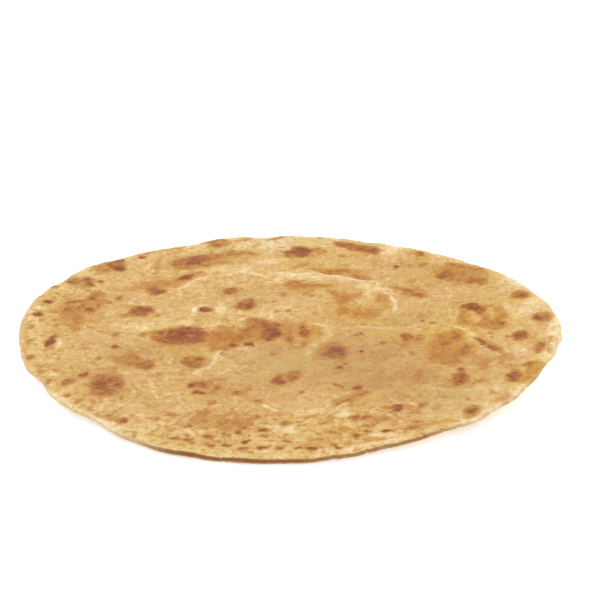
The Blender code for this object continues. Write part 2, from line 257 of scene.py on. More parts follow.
# browned streaks: points, half-width, strength
STREAKS = (
    (((-38, 71), (-31, 74), (-24, 76.5), (-19, 77.5), (-15, 76)), 2.5, 0.82),
    (((-37, 65), (-33, 68), (-26, 69)), 2.6, 0.44),
    (((-45, 49.5), (-41, 52), (-38, 54), (-35, 57)), 1.7, 0.86),
    (((-62, 39), (-56, 42), (-49, 45.5), (-44, 49.5)), 3.4, 0.40),
    (((-53.5, 71), (-54, 61), (-54, 53)), 1.3, 0.50),
    (((-63, 73.2), (-56, 78.6), (-50, 82.2), (-45, 84.8)), 1.0, 0.85),
    (((-41, 84), (-46, 80), (-48, 76)), 1.0, 0.28),
    (((-85, 18.5), (-85, 9.5), (-84, 2.5)), 1.9, 0.46),
    (((-80, 12.5), (-80, 3.5), (-79.5, -4)), 1.6, 0.46),
    (((-74, 31.5), (-78, 25.5), (-80, 19.5)), 1.8, 0.52),
    (((-97, 3.5), (-97.5, -6.5), (-96, -14.5)), 1.0, 0.46),
    (((-88, -36.5), (-87, -43.5), (-83, -50.5)), 1.2, 0.46),
    (((1, 62), (4, 65), (8, 66.5)), 1.3, 0.58),
    (((10, 62), (16, 61.5), (22, 60)), 1.5, 0.55),
    (((22, 60), (25, 58), (27, 55), (29, 51.5), (32, 49)), 2.1, 0.76),
    (((-9, 93.5), (-6, 94.5), (-3, 97.5)), 1.4, 1.05),
    (((-20, 92), (-17.5, 95), (-15, 98)), 1.5, 0.60),
    (((-14, 90), (-14, 84)), 1.5, 0.32),
    (((9, 38), (7, 33.5)), 1.2, 0.46),
    (((66, 59), (72, 56), (78, 52)), 2.2, 0.76),
    (((43, 41), (47.5, 37), (53, 30.5)), 2.1, 0.86),
    (((50, 42), (53, 36)), 1.1, 0.34),
    (((66.3, 13.5), (65.4, 7.5), (66.3, 3), (69, -0.5), (73, -3)), 1.6, 0.66),
    (((72.5, 10), (75, 6.5), (74.5, 2), (72, -1.5)), 1.2, 0.70),
    (((75, 11.5), (78, 14), (80.5, 11)), 1.2, 0.50),
    (((76, 5), (76.5, -6)), 1.5, 0.46),
    (((61, -3.5), (61.5, -12.5)), 1.6, 0.56),
    (((64, -15), (64.5, -28)), 1.6, 0.60),
    (((57, -8.5), (56, -17.5)), 1.8, 0.56),
    (((52.3, -16.5), (52, -31.5)), 1.6, 0.44),
    (((59.5, -26.5), (58, -34.5)), 1.8, 0.50),
    (((38, 32.5), (38, 19.5)), 1.4, 0.36),
    (((19.5, 33), (19.5, 24)), 1.2, 0.34),
    (((-13, -47.5), (-17, -51.5)), 1.2, 0.42),
    (((-27, -42.5), (-21, -39.5)), 1.2, 0.46),
    (((-28, -17.5), (-24, -15), (-20, -14)), 1.5, 0.60),
    (((-1, -3.5), (0.5, -10.5), (1, -12.5)), 1.7, 0.64),
    (((-13, -10.5), (-10, -8)), 1.7, 0.70),
    (((4.6, 3.5), (5.6, -1.5), (6.2, -8)), 2.1, 0.96),
    (((0.5, 1.5), (0, -5.5), (0.5, -11.5)), 1.7, 0.60),
    (((11, -3.5), (12, -7.5), (8, -13)), 1.2, 0.42),
    (((70, -12.5), (72, -18), (75, -26.5)), 2.1, 0.98),
    (((26.5, -54.5), (22, -57.5), (18, -60.5), (16, -63.5)), 1.9, 0.74),
    (((15, -72), (11.5, -76)), 0.9, 0.85),
    (((17, -64.5), (14, -67.5), (11, -72.5)), 1.1, 0.50),
    (((88, -43.5), (86, -48.5), (83, -54.5)), 1.6, 0.60),
    (((41, -80.5), (48, -79), (56, -77)), 1.0, 0.48),
    (((70.5, -66.5), (74, -63.5)), 1.5, 0.50),
    (((39, -60), (42, -66), (44, -70)), 0.9, 0.36),
    (((-86, 23.5), (-80, 20.5), (-74, 16.5)), 1.3, 0.34),
    (((-88, 15.5), (-82, 14.5), (-75, 10.5)), 1.3, 0.34),
    (((-84, 5.5), (-78, 4.5), (-72, 7.5)), 1.2, 0.30),
    (((-66, -37), (-61, -36)), 1.4, 0.36),
    (((47, -36), (44, -44)), 1.4, 0.30),
    (((-99.5, 8), (-100, -4), (-97.6, -18), (-93.4, -30)), 0.6, 0.46),
    (((54.5, -9), (54, -17)), 1.3, 0.56), (((58.5, -13), (58.0, -20)), 1.2, 0.58), (((60.5, -18), (60.3, -27)), 1.2, 0.54),
    (((66.5, -15), (66.8, -27)), 0.9, 0.36),
    (((90, -39), (87.5, -44), (85, -48)), 1.3, 0.74), (((84.5, -41), (83, -46)), 1.1, 0.62), (((84, -49), (81.5, -54.5)), 1.3, 0.70),
    (((88, -37.5), (86, -41)), 1.0, 0.56), (((51.8, -20), (51.5, -27)), 1.2, 0.50), (((55.5, -23), (55, -31)), 1.2, 0.56),
    (((60.5, -6), (60.2, -12)), 1.1, 0.54), (((56.5, -5), (56, -10)), 1.1, 0.50), (((60.8, -22), (60.5, -33)), 0.8, 0.42),
    (((53.8, -11), (53.4, -16)), 0.8, 0.36), (((63.5, -3.5), (64, -9)), 0.8, 0.40),
)
# the purple-brown middles of the strongest marks
CORES = (
    (-39, 69.5, 5.0, 3.2, 66, 0.40), (5.3, 79, 4.2, 3.4, 90, 0.95), (33, 79.5, 4.0, 3.2, 0, 0.42),
    (-15.4, 22, 3.0, 2.4, 60, 0.50), (70, 15, 3.4, 2.2, -30, 0.52), (-57, 15.5, 3.4, 2.8, 80, 0.52),
    (-31, 18.4, 1.9, 1.7, 0, 0.80), (-86.8, -15.5, 4.2, 1.4, 86, 0.95), (-46.5, -2, 3.0, 2.4, 0, 1.05),
    (-41, -2.5, 3.0, 2.2, 0, 0.95), (-35, -6, 3.6, 4.4, 0, 0.56), (-34, 1.5, 2.6, 1.0, 0, 0.60), (-63, -51, 5.6, 3.4, 84, 0.50),
    (-6.5, -4, 4.0, 2.6, 80, 0.40), (-14.5, -13, 1.5, 1.3, 0, 0.95), (17.0, -21.4, 4.8, 3.0, 84, 0.58),
    (94, -3, 2.2, 1.8, 45, 0.45), (-69, 58, 2.6, 1.6, -70, 0.60), (-42, 51.5, 2.8, 1.5, 35, 0.85),
    (-51.5, 36.5, 3.0, 2.4, -30, 0.80), (-33.6, -27, 3.2, 2.4, 80, 0.34), (85, -15.5, 2.2, 1.5, 70, 0.30),
    (60, -46.5, 2.6, 1.6, 80, 0.30), (78.3, -48, 2.6, 1.4, 74, 0.32), (89.5, 21.5, 1.9, 1.7, 0, 0.25),
    (61, -72, 1.9, 1.4, 60, 0.30), (-93, 20.5, 1.2, 1.1, 0, 0.60), (-95, 9.5, 1.3, 1.1, 0, 0.60),
    (-51, -31.5, 2.2, 1.8, 80, 0.35), (-3.4, -44, 1.6, 1.4, 0, 0.35), (-13, -88, 0.9, 0.8, 0, 0.60),
    (-77, 27, 2.6, 1.6, 80, 0.24), (-76, 15.5, 1.3, 1.2, 0, 0.40), (-80, 40, 1.3, 1.2, 0, 0.50),
)
# soft golden-brown clouds round and between the spots
HAZES = (
    (-52, 43.5, 11.0, 4.6, 22, 0.60), (-66, 37.5, 6.0, 3.0, 20, 0.40), (-77, 56.5, 6.0, 4.5, -50, 0.95),
    (-84, 42, 6.5, 6.0, 0, 0.80), (-1, 76.5, 3.6, 3.5, 0, 0.90), (54, 73.5, 3.4, 2.6, 0, 0.80),
    (-20, 93, 4.0, 1.6, 10, 0.80), (-15, 96.5, 3.0, 1.2, 10, 0.70), (6, 42.5, 12.0, 5.0, 0, 0.65),
    (23, 28, 5.5, 8.0, 0, 0.80), (27, 15.5, 9.0, 4.6, 0, 0.80), (37, 27, 3.5, 8.0, 0, 0.55),
    (70, 48, 13.0, 9.0, -40, 0.85), (-62, 12.5, 5.0, 4.0, 0, 0.40), (-80, 11.5, 9.0, 13.0, 0, 0.38),
    (-80, 25.5, 9.0, 6.0, 0, 0.44), (-49, 80, 3.0, 1.6, 30, 0.50), (-22, -5, 7.5, 8.0, 0, 1.00),
    (-27, -12, 4.0, 6.0, 0, 0.80), (-6, 1.5, 10.0, 9.0, 0, 0.60), (12, -3, 3.6, 6.0, 0, 0.46),
    (46, -42, 7.0, 4.0, 0, 0.30), (56, -10.5, 5.4, 7.5, 0, 0.56), (61.5, -9, 4.2, 6.0, 0, 0.46), (55, -24, 4.6, 7.0, 10, 0.56),
    (62, -21, 4.4, 8.0, 0, 0.60), (58, -29.5, 5.4, 3.6, 0, 0.42), (72.5, -65, 3.6, 1.6, 40, 0.60), (69, -33, 4.0, 8.0, 0, 0.50),
    (77, -33, 4.0, 7.0, 20, 0.50), (87, -45, 3.4, 6.0, -25, 0.55), (82, -53, 3.0, 3.0, 30, 0.75),
    (28, -62, 8.0, 5.0, 20, 0.45), (16, -84, 11.0, 7.0, 0, 0.50), (7, -90, 5.0, 3.0, 0, 0.45),
    (73, 3.5, 8.0, 11.0, 0, 0.50), (-63, -49, 9.0, 12.0, -10, 0.38), (-75, -46.5, 7.0, 4.0, 0, 0.45),
    (-57, -27, 7.0, 7.0, 0, 0.45), (-40, -28, 9.0, 4.0, 0, 0.40), (-22, -74, 12.0, 7.0, 0, 0.48),
    (-40, -72, 8.0, 4.0, 0, 0.20), (17, 58.5, 9.0, 4.0, -10, 0.35), (-42, 65.5, 9.0, 7.0, 40, 0.18),
    (-27, 74.0, 10.0, 4.5, 15, 0.42), (32, -73.5, 9.0, 3.5, 0, 0.40), (18, -50, 10.0, 4.0, 10, 0.28),
    (-95, -18, 3.0, 10.0, 10, 0.40), (-97, 0, 3.0, 12.0, 0, 0.20), (90, -20, 5.0, 9.0, 0, 0.30),
    (-70, 31.5, 8.0, 4.0, 0, 0.35), (40, -82, 10.0, 3.0, 10, 0.30), (-28, -48, 8.0, 5.0, 0, 0.30),
    (-13, 8.5, 7.0, 4.0, 0, 0.35), (60, 51.5, 6.0, 4.0, 0, 0.30), (48, 20, 18.0, 16.0, 0, 0.16),
    (50, -22, 20.0, 14.0, 0, 0.14), (45, 66, 18.0, 8.0, -20, 0.16), (-92, 28, 5.0, 9.0, 10, 0.30),
)
# pale, floury or under-baked places
PALES = (
    (32, 42, 4.6, 3.6, 0, 0.55), (36, 38.5, 3.0, 2.6, 0, 0.45), (30.5, 34, 1.6, 4.6, 0, 0.45),
    (28, 27, 2.4, 4.6, 10, 0.50), (33, 24, 1.6, 3.2, 0, 0.35), (6, 52.5, 10.0, 3.0, 0, 0.50),
    (24, 49, 7.0, 2.6, -15, 0.40), (42, 79.5, 4.6, 5.6, 0, 0.48), (-7, 88, 1.8, 7.0, 0, 0.45),
    (-2, 87, 1.6, 6.0, 0, 0.35), (-12, 84, 1.5, 4.0, 0, 0.35), (-24, 60.5, 11.0, 3.0, 15, 0.42),
    (70.3, 5.5, 4.2, 1.9, 84, 0.36), (77.3, 5, 4.6, 1.2, 85, 0.50), (-26, 18.5, 2.0, 3.6, 0, 0.85),
    (-35.8, 18, 1.2, 3.2, 0, 1.00), (18, -69.5, 2.6, 3.0, 0, 0.80), (-0.5, -79, 3.6, 2.6, 0, 0.65),
    (4, -87, 2.4, 1.8, 0, 0.50), (28, -83.5, 2.4, 2.6, 60, 0.60), (33.5, -86, 3.0, 1.6, 20, 0.60),
    (-52, 3.5, 7.0, 4.0, 30, 0.30), (-42.5, -76, 3.0, 1.4, 0, 0.35), (-33, -55.5, 2.2, 1.6, 0, 0.40),
    (-55, 23.5, 3.5, 1.6, 0, 0.30), (-83, -18, 1.1, 4.6, 0, 0.75), (-8, 69, 7.0, 3.0, 0, 0.40),
    (66, -38, 8.0, 2.4, 20, 0.20), (82, -36.5, 3.0, 5.0, 0, 0.25), (86, 7.5, 3.0, 5.0, 0, 0.30),
    (38, -28.5, 5.0, 3.0, 0, 0.25), (43, -22, 1.4, 6.0, 0, 0.45), (73, 29.5, 7.0, 4.0, -20, 0.20),
    (-80, -60.5, 4.0, 6.0, 40, 0.50), (90, 35, 3.6, 8.0, -15, 0.40), (92, 9.5, 3.4, 8.0, 0, 0.45),
    (97, -14, 2.6, 8.0, 0, 0.60), (92, -38, 3.4, 4.0, 0, 0.70), (83, -26.5, 2.6, 6.0, 0, 0.35),
    (50, -64.5, 4.0, 2.4, 0, 0.25), (6, -66.5, 8.0, 3.0, 0, 0.40), (-20, 65, 7.0, 2.4, 0, 0.35),
    (9, 60, 6.0, 2.0, 0, 0.30), (-48, 19.5, 2.0, 4.5, 0, 0.25), (16, -87.5, 3.0, 1.4, 0, 0.35),
    (-10, -87, 3.4, 1.4, 0, 0.45), (-32, -81.5, 7.0, 2.0, 0, 0.35), (12, -78.5, 4.0, 1.6, 40, 0.50),
    (-5, 49.5, 3.0, 4.0, 0, 0.25), (-19, 8.5, 3.0, 1.6, 10, 0.35), (-40, 5.5, 8.0, 1.6, 10, 0.40),
    (-30, 3, 3.0, 1.3, 0, 0.45), (-45, -92, 6.0, 1.6, 10, 0.45), (30, -80, 3.0, 1.2, 0, 0.50),
    (39, -62, 3.4, 1.2, 10, 0.55), (68, -56, 7.0, 2.4, 40, 0.30), (-60, -64, 7.0, 4.0, 20, 0.25),
)
# fine pale lines: ridges of dry dough.  points, half-width, strength
PALE_LINES = (
    (((9, 3.5), (14, 2.5)), 0.8, 0.60),
    (((14, 2.5), (15, -2.5), (13, -7.5), (9, -12.5), (7, -20)), 1.8, 0.55),
    (((-13, -16), (-19, -16.5)), 0.9, 0.40),
    (((-24, -17.5), (-26, -22), (-27.5, -28)), 1.3, 0.66),
    (((-28.5, -29), (-30.5, -33), (-33, -36.5)), 1.0, 0.60),
    (((-35.5, 15), (-36, 18.5), (-33.5, 22), (-30, 22.8)), 0.9, 0.55),
    (((20, 0), (30, 1), (38, 1.5), (48, 3.5)), 0.7, 0.42),
    (((62.5, 0.5), (66, -5.5), (70, -12)), 0.9, 0.60),
    (((67, -11), (71, -21), (74, -29)), 0.8, 0.55),
    (((71, -12), (76, -20), (79, -29)), 0.8, 0.42),
    (((36, -62.5), (40, -61), (43, -64)), 0.9, 0.60),
    (((20, -61), (16, -65), (11, -71.5)), 1.0, 0.72),
    (((33, -70.5), (37, -75.5)), 1.0, 0.60),
    (((-8, -60), (-5, -64), (-3, -66)), 0.6, 0.75),
    (((-47.6, -45.5), (-47.2, -49)), 0.45, 0.95), (((-46.6, -52), (-45.6, -54)), 0.45, 1.00),
    (((-45.3, -55.5), (-45, -58.5)), 0.45, 1.00), (((-43, -41.5), (-42.8, -44)), 0.45, 0.80),
    (((-85, -55.5), (-74, -66), (-60, -77), (-45, -87)), 1.8, 0.42),
    (((-62, 1.5), (-55, 4.5), (-48, 8.5), (-43, 11.5)), 1.4, 0.38),
    (((50, -52.5), (60, -56.5), (70, -58.5)), 1.2, 0.34),
    (((-9, 69), (-2, 70), (6, 72), (14, 73)), 1.2, 0.30),
    (((36, -33.5), (42, -29.5), (50, -28.5)), 0.9, 0.30),
    (((84, 1.5), (91, 2.5), (97, 3.5)), 1.0, 0.45),
    (((80, -38.5), (88, -36.5), (94, -30.5)), 1.1, 0.45),
    (((78, 25.5), (86, 27.5), (92, 26.5)), 1.3, 0.34),
    (((46, -60.5), (50, -66.5), (56, -68.5)), 1.0, 0.35),
    (((14, -58.5), (22, -52.5), (27, -50.5)), 0.9, 0.45),
    (((62, -77), (72, -68), (80, -58), (88, -46), (94, -33)), 1.2, 0.34),
    (((95, -25), (98.5, -12), (100, 2)), 1.1, 0.58),
    (((-93, -40), (-86, -53), (-76, -65)), 1.0, 0.55),
    (((10, -94), (24, -92), (38, -87.5)), 0.9, 0.45),
)
# the long crease across the back, where a puffed pocket fell in:
# points, height, how steep it is behind and before, paleness (dry flour, plus a painted highlight where the ridge
# catches the light)
CREASES = (
    (((-53, 31), (-49, 35), (-44, 37.5), (-41.5, 41.5), (-38, 48), (-32.5, 52), (-27.5, 53), (-21.5, 57),
      (-18, 58.5), (-13.5, 55), (-9.5, 51), (-5, 48.5)), 0.72, 1.0, 4.6, 0.62),
    (((-38, 53), (-31, 60), (-26, 63), (-21.5, 65)), 0.30, 1.6, 3.6, 0.42),
    (((-5, 57), (-2, 56), (3, 54.5), (7, 56), (12.5, 55.5), (17, 54), (22, 52), (27.5, 48.5), (34.5, 46),
      (39, 43)), 0.72, 0.9, 4.4, 0.85),
    (((37, 38), (40.5, 31), (41.8, 24), (41, 18), (39, 14)), 0.46, 0.9, 3.0, 0.78),
    (((-5, 49), (5, 49.5), (13, 48), (21, 49), (27, 45)), 0.0, 1.0, 1.0, 0.30),
)
# where the creases are at their palest, dry flour and a painted highlight on the lit ridge: x, y, reach, strength
CREASE_FLOUR_AND_HIGHLIGHT = (
    (-40, 43, 4, 0.9), (-35, 50, 3, 0.6), (-20, 58, 4, 0.9), (-12, 54, 4, 0.8), (-27, 61, 5, 0.6),
    (5, 56, 6, 1.0), (13, 55.5, 5, 1.0), (21, 53, 5, 0.9), (29, 48, 5, 0.5), (41, 26, 7, 0.9),
    (5, 49, 12, 0.7), (24, 47, 7, 0.6),
)
# zones of the ground colour: x, y, long, wide, turn, strength
GREY_ZONES = (
    (20, -26.5, 38, 24, -12, 1.00), (-14, -42.5, 26, 16, 0, 0.55), (34, -46.5, 22, 12, 0, 0.60),
    (-62, 33.5, 16, 9, 20, 0.35), (-8, 31.5, 22, 10, 0, 0.45), (-70, -22.5, 20, 16, 0, 0.35),
    (46, 54, 18, 12, 0, 0.25), (72, 29.5, 12, 8, 0, 0.20), (-48, -62.5, 14, 8, 0, 0.45),
    (78, -44.5, 12, 9, 0, 0.30), (40, 9.5, 16, 7, 0, 0.35), (56, -62, 14, 9, 15, 0.75),
)
# broad lighter (-) and darker (+) shades of the ground
SHADES = (
    (34, -6, 19, 14, 0, 0.095), (45, -48, 16, 12, 0, 0.125), (30, -33, 11, 8, 0, 0.085),
    (-46, -15, 14, 9, 0, 0.105), (48, 51, 13, 9, -20, 0.095), (58, 40, 9, 6, 0, 0.110),
    (14, 71, 12, 7, 0, 0.090), (14, 11, 10, 8, 0, 0.085), (-30, 44, 17, 8, 0, 0.065),
    (-5, -67, 12, 7, 0, 0.095), (-26, -72, 9, 12, 0, 0.055), (-66, -19, 9, 7, 0, 0.065),
    (55, -22, 10, 6, 0, 0.050), (66, 35, 8, 8, 0, 0.050), (-42, -46, 9, 7, 0, 0.045),
    (-14, -44, 12, 9, 0, 0.055), (30, 68, 10, 5, 0, 0.060), (78, -17, 7, 8, 0, 0.055),
    (-8, 88, 15, 8, 0, -0.075), (-34, 86, 9, 5, 20, -0.080), (-86, -44, 6, 9, 0, -0.085),
    (-62, -70, 9, 5, -35, -0.060), (70, -62, 10, 6, 30, -0.055), (58, -75, 10, 4, 20, -0.060),
    (89, -22, 6, 8, 0, -0.060), (-8, 12, 9, 6, 0, -0.045), (-60, 33, 15, 8, 0, -0.045),
    (-84, 37, 8, 7, 0, -0.070), (0, 2, 6, 5, 0, -0.035), (88, 18, 5, 10, 0, -0.040),
    (21, -29, 12, 10, 0, 0.130), (36, -20, 9, 11, 0, 0.070), (35, -42, 11, 8, 0, 0.130), (-10, -30, 10, 8, 0, 0.050),
    (-3, -70, 6, 6, 0, 0.050), (16, -84, 9, 5, 0, 0.050), (-8, 88, 9, 6, 0, -0.060), (-19, 57.5, 6, 3, 0, -0.080),
    (45, 66, 11, 7, 0, 0.045), (-40, 31, 10, 7, 0, 0.060), (80, 27, 7, 7, 0, 0.050), (-47, -18, 9, 4, 0, 0.115),
    (0, 30, 12, 8, 0, -0.035), (-96, -8, 3.6, 14, 0, -0.270), (41, 5, 9, 5, 0, 0.060), (-22, -78, 10, 4, 0, -0.020),
)
# where the browning is more amber (+) and where the crust is duskier (-)
AMBER = (
    (58, -17, 8, 17, 0, 0.42), (58, -8, 6, 6, 0, 0.50), (86, -46, 5, 10, -25, 0.60), (-49, -6, 4, 8, 0, 0.65),
    (-20, -5, 10, 8, 0, 0.80), (5.5, -2, 4, 7, 0, 0.70), (10.5, -4, 4, 7, 0, 0.65), (72, 4, 11, 12, 0, 0.75),
    (17, 58, 12, 4, -15, 0.75), (89, 21, 5, 6, 0, 0.60), (7, 42, 12, 5, 0, 0.55), (70, 48, 12, 9, -30, 0.35),
    (26, 18, 11, 9, 0, 0.40), (28, 82, 12, 8, -30, 0.40), (84.5, -15.5, 4, 5, 0, 0.50), (-34, -18, 8, 8, 0, 0.20),
    (20, -80, 16, 8, 0, 0.25), (54.7, 73, 4, 5, 0, 0.70), (-31, 90, 6, 5, 0, 0.30), (45, -7, 7, 5, 0, 0.20),
    (-8, 88, 15, 8, 0, -0.85), (13, 88, 8, 7, 0, -0.50), (56, -61, 13, 8, 0, -0.55), (-12, -27, 15, 10, 0, -0.45),
    (-46, -18, 11, 6, 0, -0.50), (-63, -46, 8, 12, 0, -0.35), (-63, -41.5, 6, 5, 0, -0.30), (-54, -30, 8, 7, 0, -0.30), (-19, 58, 9, 4, 0, -0.55),
    (7, 54, 10, 4, 0, -0.25), (80, 28, 8, 7, 0, -0.25), (0, 30, 15, 9, 0, -0.15), (20, -28, 12, 9, 0, -0.40),
    (-57, 17, 5, 6, 0, -0.25), (-84, 42, 7, 7, 0, -0.30), (-30, 75, 12, 5, 10, -0.30), (22, 52, 8, 4, 0, -0.40),
)
WARM_ZONES = (
    (-20, 65, 34, 12, 0, 0.35), (22, 23.5, 20, 16, 0, 0.60), (84, 9.5, 12, 26, 0, 0.40),
    (-82, 13.5, 14, 26, 0, 0.35), (10, -84.5, 40, 10, 0, 0.55), (62, -20.5, 20, 20, 0, 0.45),
    (-42, -10.5, 26, 10, 0, 0.25), (-70, -46.5, 16, 16, 0, 0.30), (50, -70.5, 24, 9, 18, 0.50),
)


def oval(x, y, row):
    """Distance from an oval's middle, 1 on its outline."""
    ox, oy, long, wide, turn = row[:5]
    c, s = math.cos(math.radians(turn)), math.sin(math.radians(turn))
    u = ((x - ox) * c + (y - oy) * s) / long
    v = (-(x - ox) * s + (y - oy) * c) / wide
    return np.hypot(u, v)


def oval_field(x, y, rows, edge, grow=1.0, power=3.0):
    """The rows' strengths, blended; edge is the half-width of the fade in mm."""
    total = np.zeros_like(x)
    for row in rows:
        reach = max(row[2], row[3]) * grow + 2.5 * edge + 1.0
        near = (np.abs(x - row[0]) < reach) & (np.abs(y - row[1]) < reach)
        if not near.any():
            continue
        soft = min(0.95, edge / (grow * min(row[2], row[3])))
        d = oval(x[near], y[near], row) / grow
        f = row[5] * smooth((1.0 + soft - d) / (2.0 * soft))
        total[near] = (total[near] ** power + f ** power) ** (1.0 / power)
    return total


def soft_union(a, b, power=3.0):
    return (a ** power + np.maximum(b, 0.0) ** power) ** (1.0 / power)


def bell_field(x, y, rows, sharp=5.8, grow=1.0, power=3.0):
    """Like oval_field, but each row fades from its middle out, half strength
    on its outline; a large sharp makes it flat with a quick edge."""
    total = np.zeros_like(x)
    for row in rows:
        reach = max(row[2], row[3]) * grow * 2.1
        near = (np.abs(x - row[0]) < reach) & (np.abs(y - row[1]) < reach)
        if not near.any():
            continue
        short = grow * min(row[2], row[3])
        crisp = sharp * (1.0 + 0.12 * min(short, 7.0))
        d = oval(x[near], y[near], row) / grow
        small = 1.03 + 0.45 * max(0.0, min(1.0, (2.4 - short) / 1.4))
        f = small * row[5] * np.exp(-0.69 * d ** crisp)
        total[near] = (total[near] ** power + f ** power) ** (1.0 / power)
    return total


def line_distance(x, y, points):
    """Distance to a broken line, how far along it the nearest point is (0 to
    1), and the side, + to the left of its direction."""
    pts = np.array(points, float)
    steps = np.hypot(*(pts[1:] - pts[:-1]).T)
    ends = np.concatenate([[0.0], np.cumsum(steps)])
    best = np.full(x.shape, 1e9)
    along = np.zeros(x.shape)
    side = np.ones(x.shape)
    for i in range(len(pts) - 1):
        ax, ay = pts[i]
        dx, dy = pts[i + 1] - pts[i]
        t = np.clip(((x - ax) * dx + (y - ay) * dy) / (dx * dx + dy * dy), 0.0, 1.0)
        px, py = x - ax - t * dx, y - ay - t * dy
        d = np.hypot(px, py)
        nearer = d < best
        best = np.where(nearer, d, best)
        along = np.where(nearer, (ends[i] + t * steps[i]) / ends[-1], along)
        side = np.where(nearer, np.sign(dx * py - dy * px + 1e-12), side)
    return best, along, side


def line_field(x, y, rows, power=3.0):
    total = np.zeros_like(x)
    for points, half, strength in rows:
        xs, ys = [p[0] for p in points], [p[1] for p in points]
        near = ((x > min(xs) - 4 * half) & (x < max(xs) + 4 * half)
                & (y > min(ys) - 4 * half) & (y < max(ys) + 4 * half))
        if not near.any():
            continue
        d, along, _ = line_distance(x[near], y[near], points)
        taper = 0.60 + 0.40 * np.sin(np.pi * np.clip(along, 0.04, 0.96))
        f = strength * np.exp(-(d / (1.25 * half * taper)) ** 2)
        total[near] = (total[near] ** power + f ** power) ** (1.0 / power)
    return total


# =========================================================================
# 4. Marks and relief at any place on either face (x, y in mm)
# =========================================================================
TOP, UNDER = Noise(11), Noise(29)
FINE, WARP_X, WARP_Y, WIDE = Noise(5), Noise(41), Noise(42), Noise(73)


def warped(x, y, coarse=1.0, fine=0.45):
    wx = coarse * (0.9 * WARP_X.layers(x - 70, y, 12.0, 1) + 0.8 * WARP_X.layers(x, y, 5.0, 2))
    wy = coarse * (0.9 * WARP_Y.layers(x - 70, y, 12.0, 1) + 0.8 * WARP_Y.layers(x, y, 5.0, 2))
    wx = wx + fine * WARP_X.layers(x + 50, y, 1.9, 2)
    wy = wy + fine * WARP_Y.layers(x + 50, y, 1.9, 2)
    return x + wx, y + wy


def scattered(seed, count, radii, strengths, ring=None, gap=0.0):
    """Seeded ovals on the disc: denser towards the rim where ring is given."""
    rng = np.random.default_rng(seed)
    rows = []
    while len(rows) < count:
        r = 97.5 * math.sqrt(rng.uniform())
        a = rng.uniform(0, 2 * math.pi)
        keep, size, turn, power = rng.uniform(), rng.uniform(), rng.uniform(0, 180), rng.uniform()
        slim = rng.uniform(0.6, 1.0)
        x, y = r * math.cos(a), r * math.sin(a)
        if ring is not None and keep > ring(x, y, r):
            continue
        long = radii[0] + (radii[1] - radii[0]) * size ** 2.2
        if gap and any(math.hypot(x - q[0], y - q[1]) < (long + q[2]) * gap for q in rows):
            continue
        rows.append((x, y, long, long * slim, turn,
                     strengths[0] + (strengths[1] - strengths[0]) * power))
    return rows


def busy(x, y, r):
    """Where the small dark dots sit: the left, front and back rims."""
    rim = max(0.0, (r - 72.0) / 26.0)
    left = max(0.0, -x / 95.0)
    front = max(0.0, -y / 95.0)
    return 0.10 + 0.9 * rim * (0.25 + 0.5 * left + 0.45 * front)


SMALL_DOTS = scattered(101, 230, (0.45, 1.15), (0.30, 0.75), busy)
BLISTERS = scattered(131, 420, (1.0, 3.6), (-0.6, 1.0))
UNDER_SPOTS = scattered(
    211, 78, (1.6, 9.0), (0.45, 0.95), lambda x, y, r: 0.35 + 0.65 * (r / 98.0) ** 1.5, gap=1.15)
UNDER_DOTS = scattered(223, 260, (0.5, 1.5), (0.25, 0.7))
UNDER_HAZES = [(x, y, a * 1.9 + 3, b * 1.9 + 3, t, 0.45) for x, y, a, b, t, _ in UNDER_SPOTS[::2]]
UNDER_CORES = [(x + 0.2 * a, y - 0.1 * b, a * 0.5, b * 0.5, t, s * 0.75)
               for x, y, a, b, t, s in UNDER_SPOTS if a > 3.2]


def dome(d):
    """A blister's profile: flat-topped, 1 in the middle, 0 from its edge out."""
    return smooth((1.12 - d) / 0.75)


def crease_parts(x, y):
    """The back creases: their ridges, their paleness (dry flour and painted highlight)."""
    wx, wy = warped(x, y, 0.5, 0.25)
    ridge, pale = np.zeros_like(x), np.zeros_like(x)
    flour_and_highlight = np.zeros_like(x)
    for bx, by, reach, strength in CREASE_FLOUR_AND_HIGHLIGHT:
        flour_and_highlight = np.maximum(flour_and_highlight, strength * np.exp(-((x - bx) ** 2 + (y - by) ** 2) / reach ** 2))
    for points, height, behind, before, paleness in CREASES:
        d, along, side = line_distance(wx, wy, points)
        live = smooth(along / 0.12) * smooth((1.0 - along) / 0.14) * (0.70 + 0.30 * np.sin(along * 37.0 + 0.8))
        steep = np.where(side > 0, behind, before)
        ridge = np.maximum(ridge, height * live * np.exp(-(d / steep) ** 2))
        ends = smooth(along / 0.06) * smooth((1.0 - along) / 0.08)
        pale = np.maximum(pale, ends * paleness * (0.75 + 0.75 * flour_and_highlight) * np.exp(-(d / 1.15) ** 2))
        pale = np.maximum(pale, ends * paleness * 0.48 * flour_and_highlight * np.exp(-(d / 3.0) ** 2))
    return ridge, pale


# stretches of rim baked golden: where, reach (degrees), strength
GOLDEN_RIM = ((-29.0, 7.0, 0.62), (-170.0, 12.0, 0.30), (-150.0, 7.0, 0.20))


def golden_rim(angle):
    total = np.zeros_like(angle)
    for at, reach, strength in GOLDEN_RIM:
        total = total + strength * np.exp(-(turn_between(np.degrees(angle), at) / reach) ** 2)
    return total


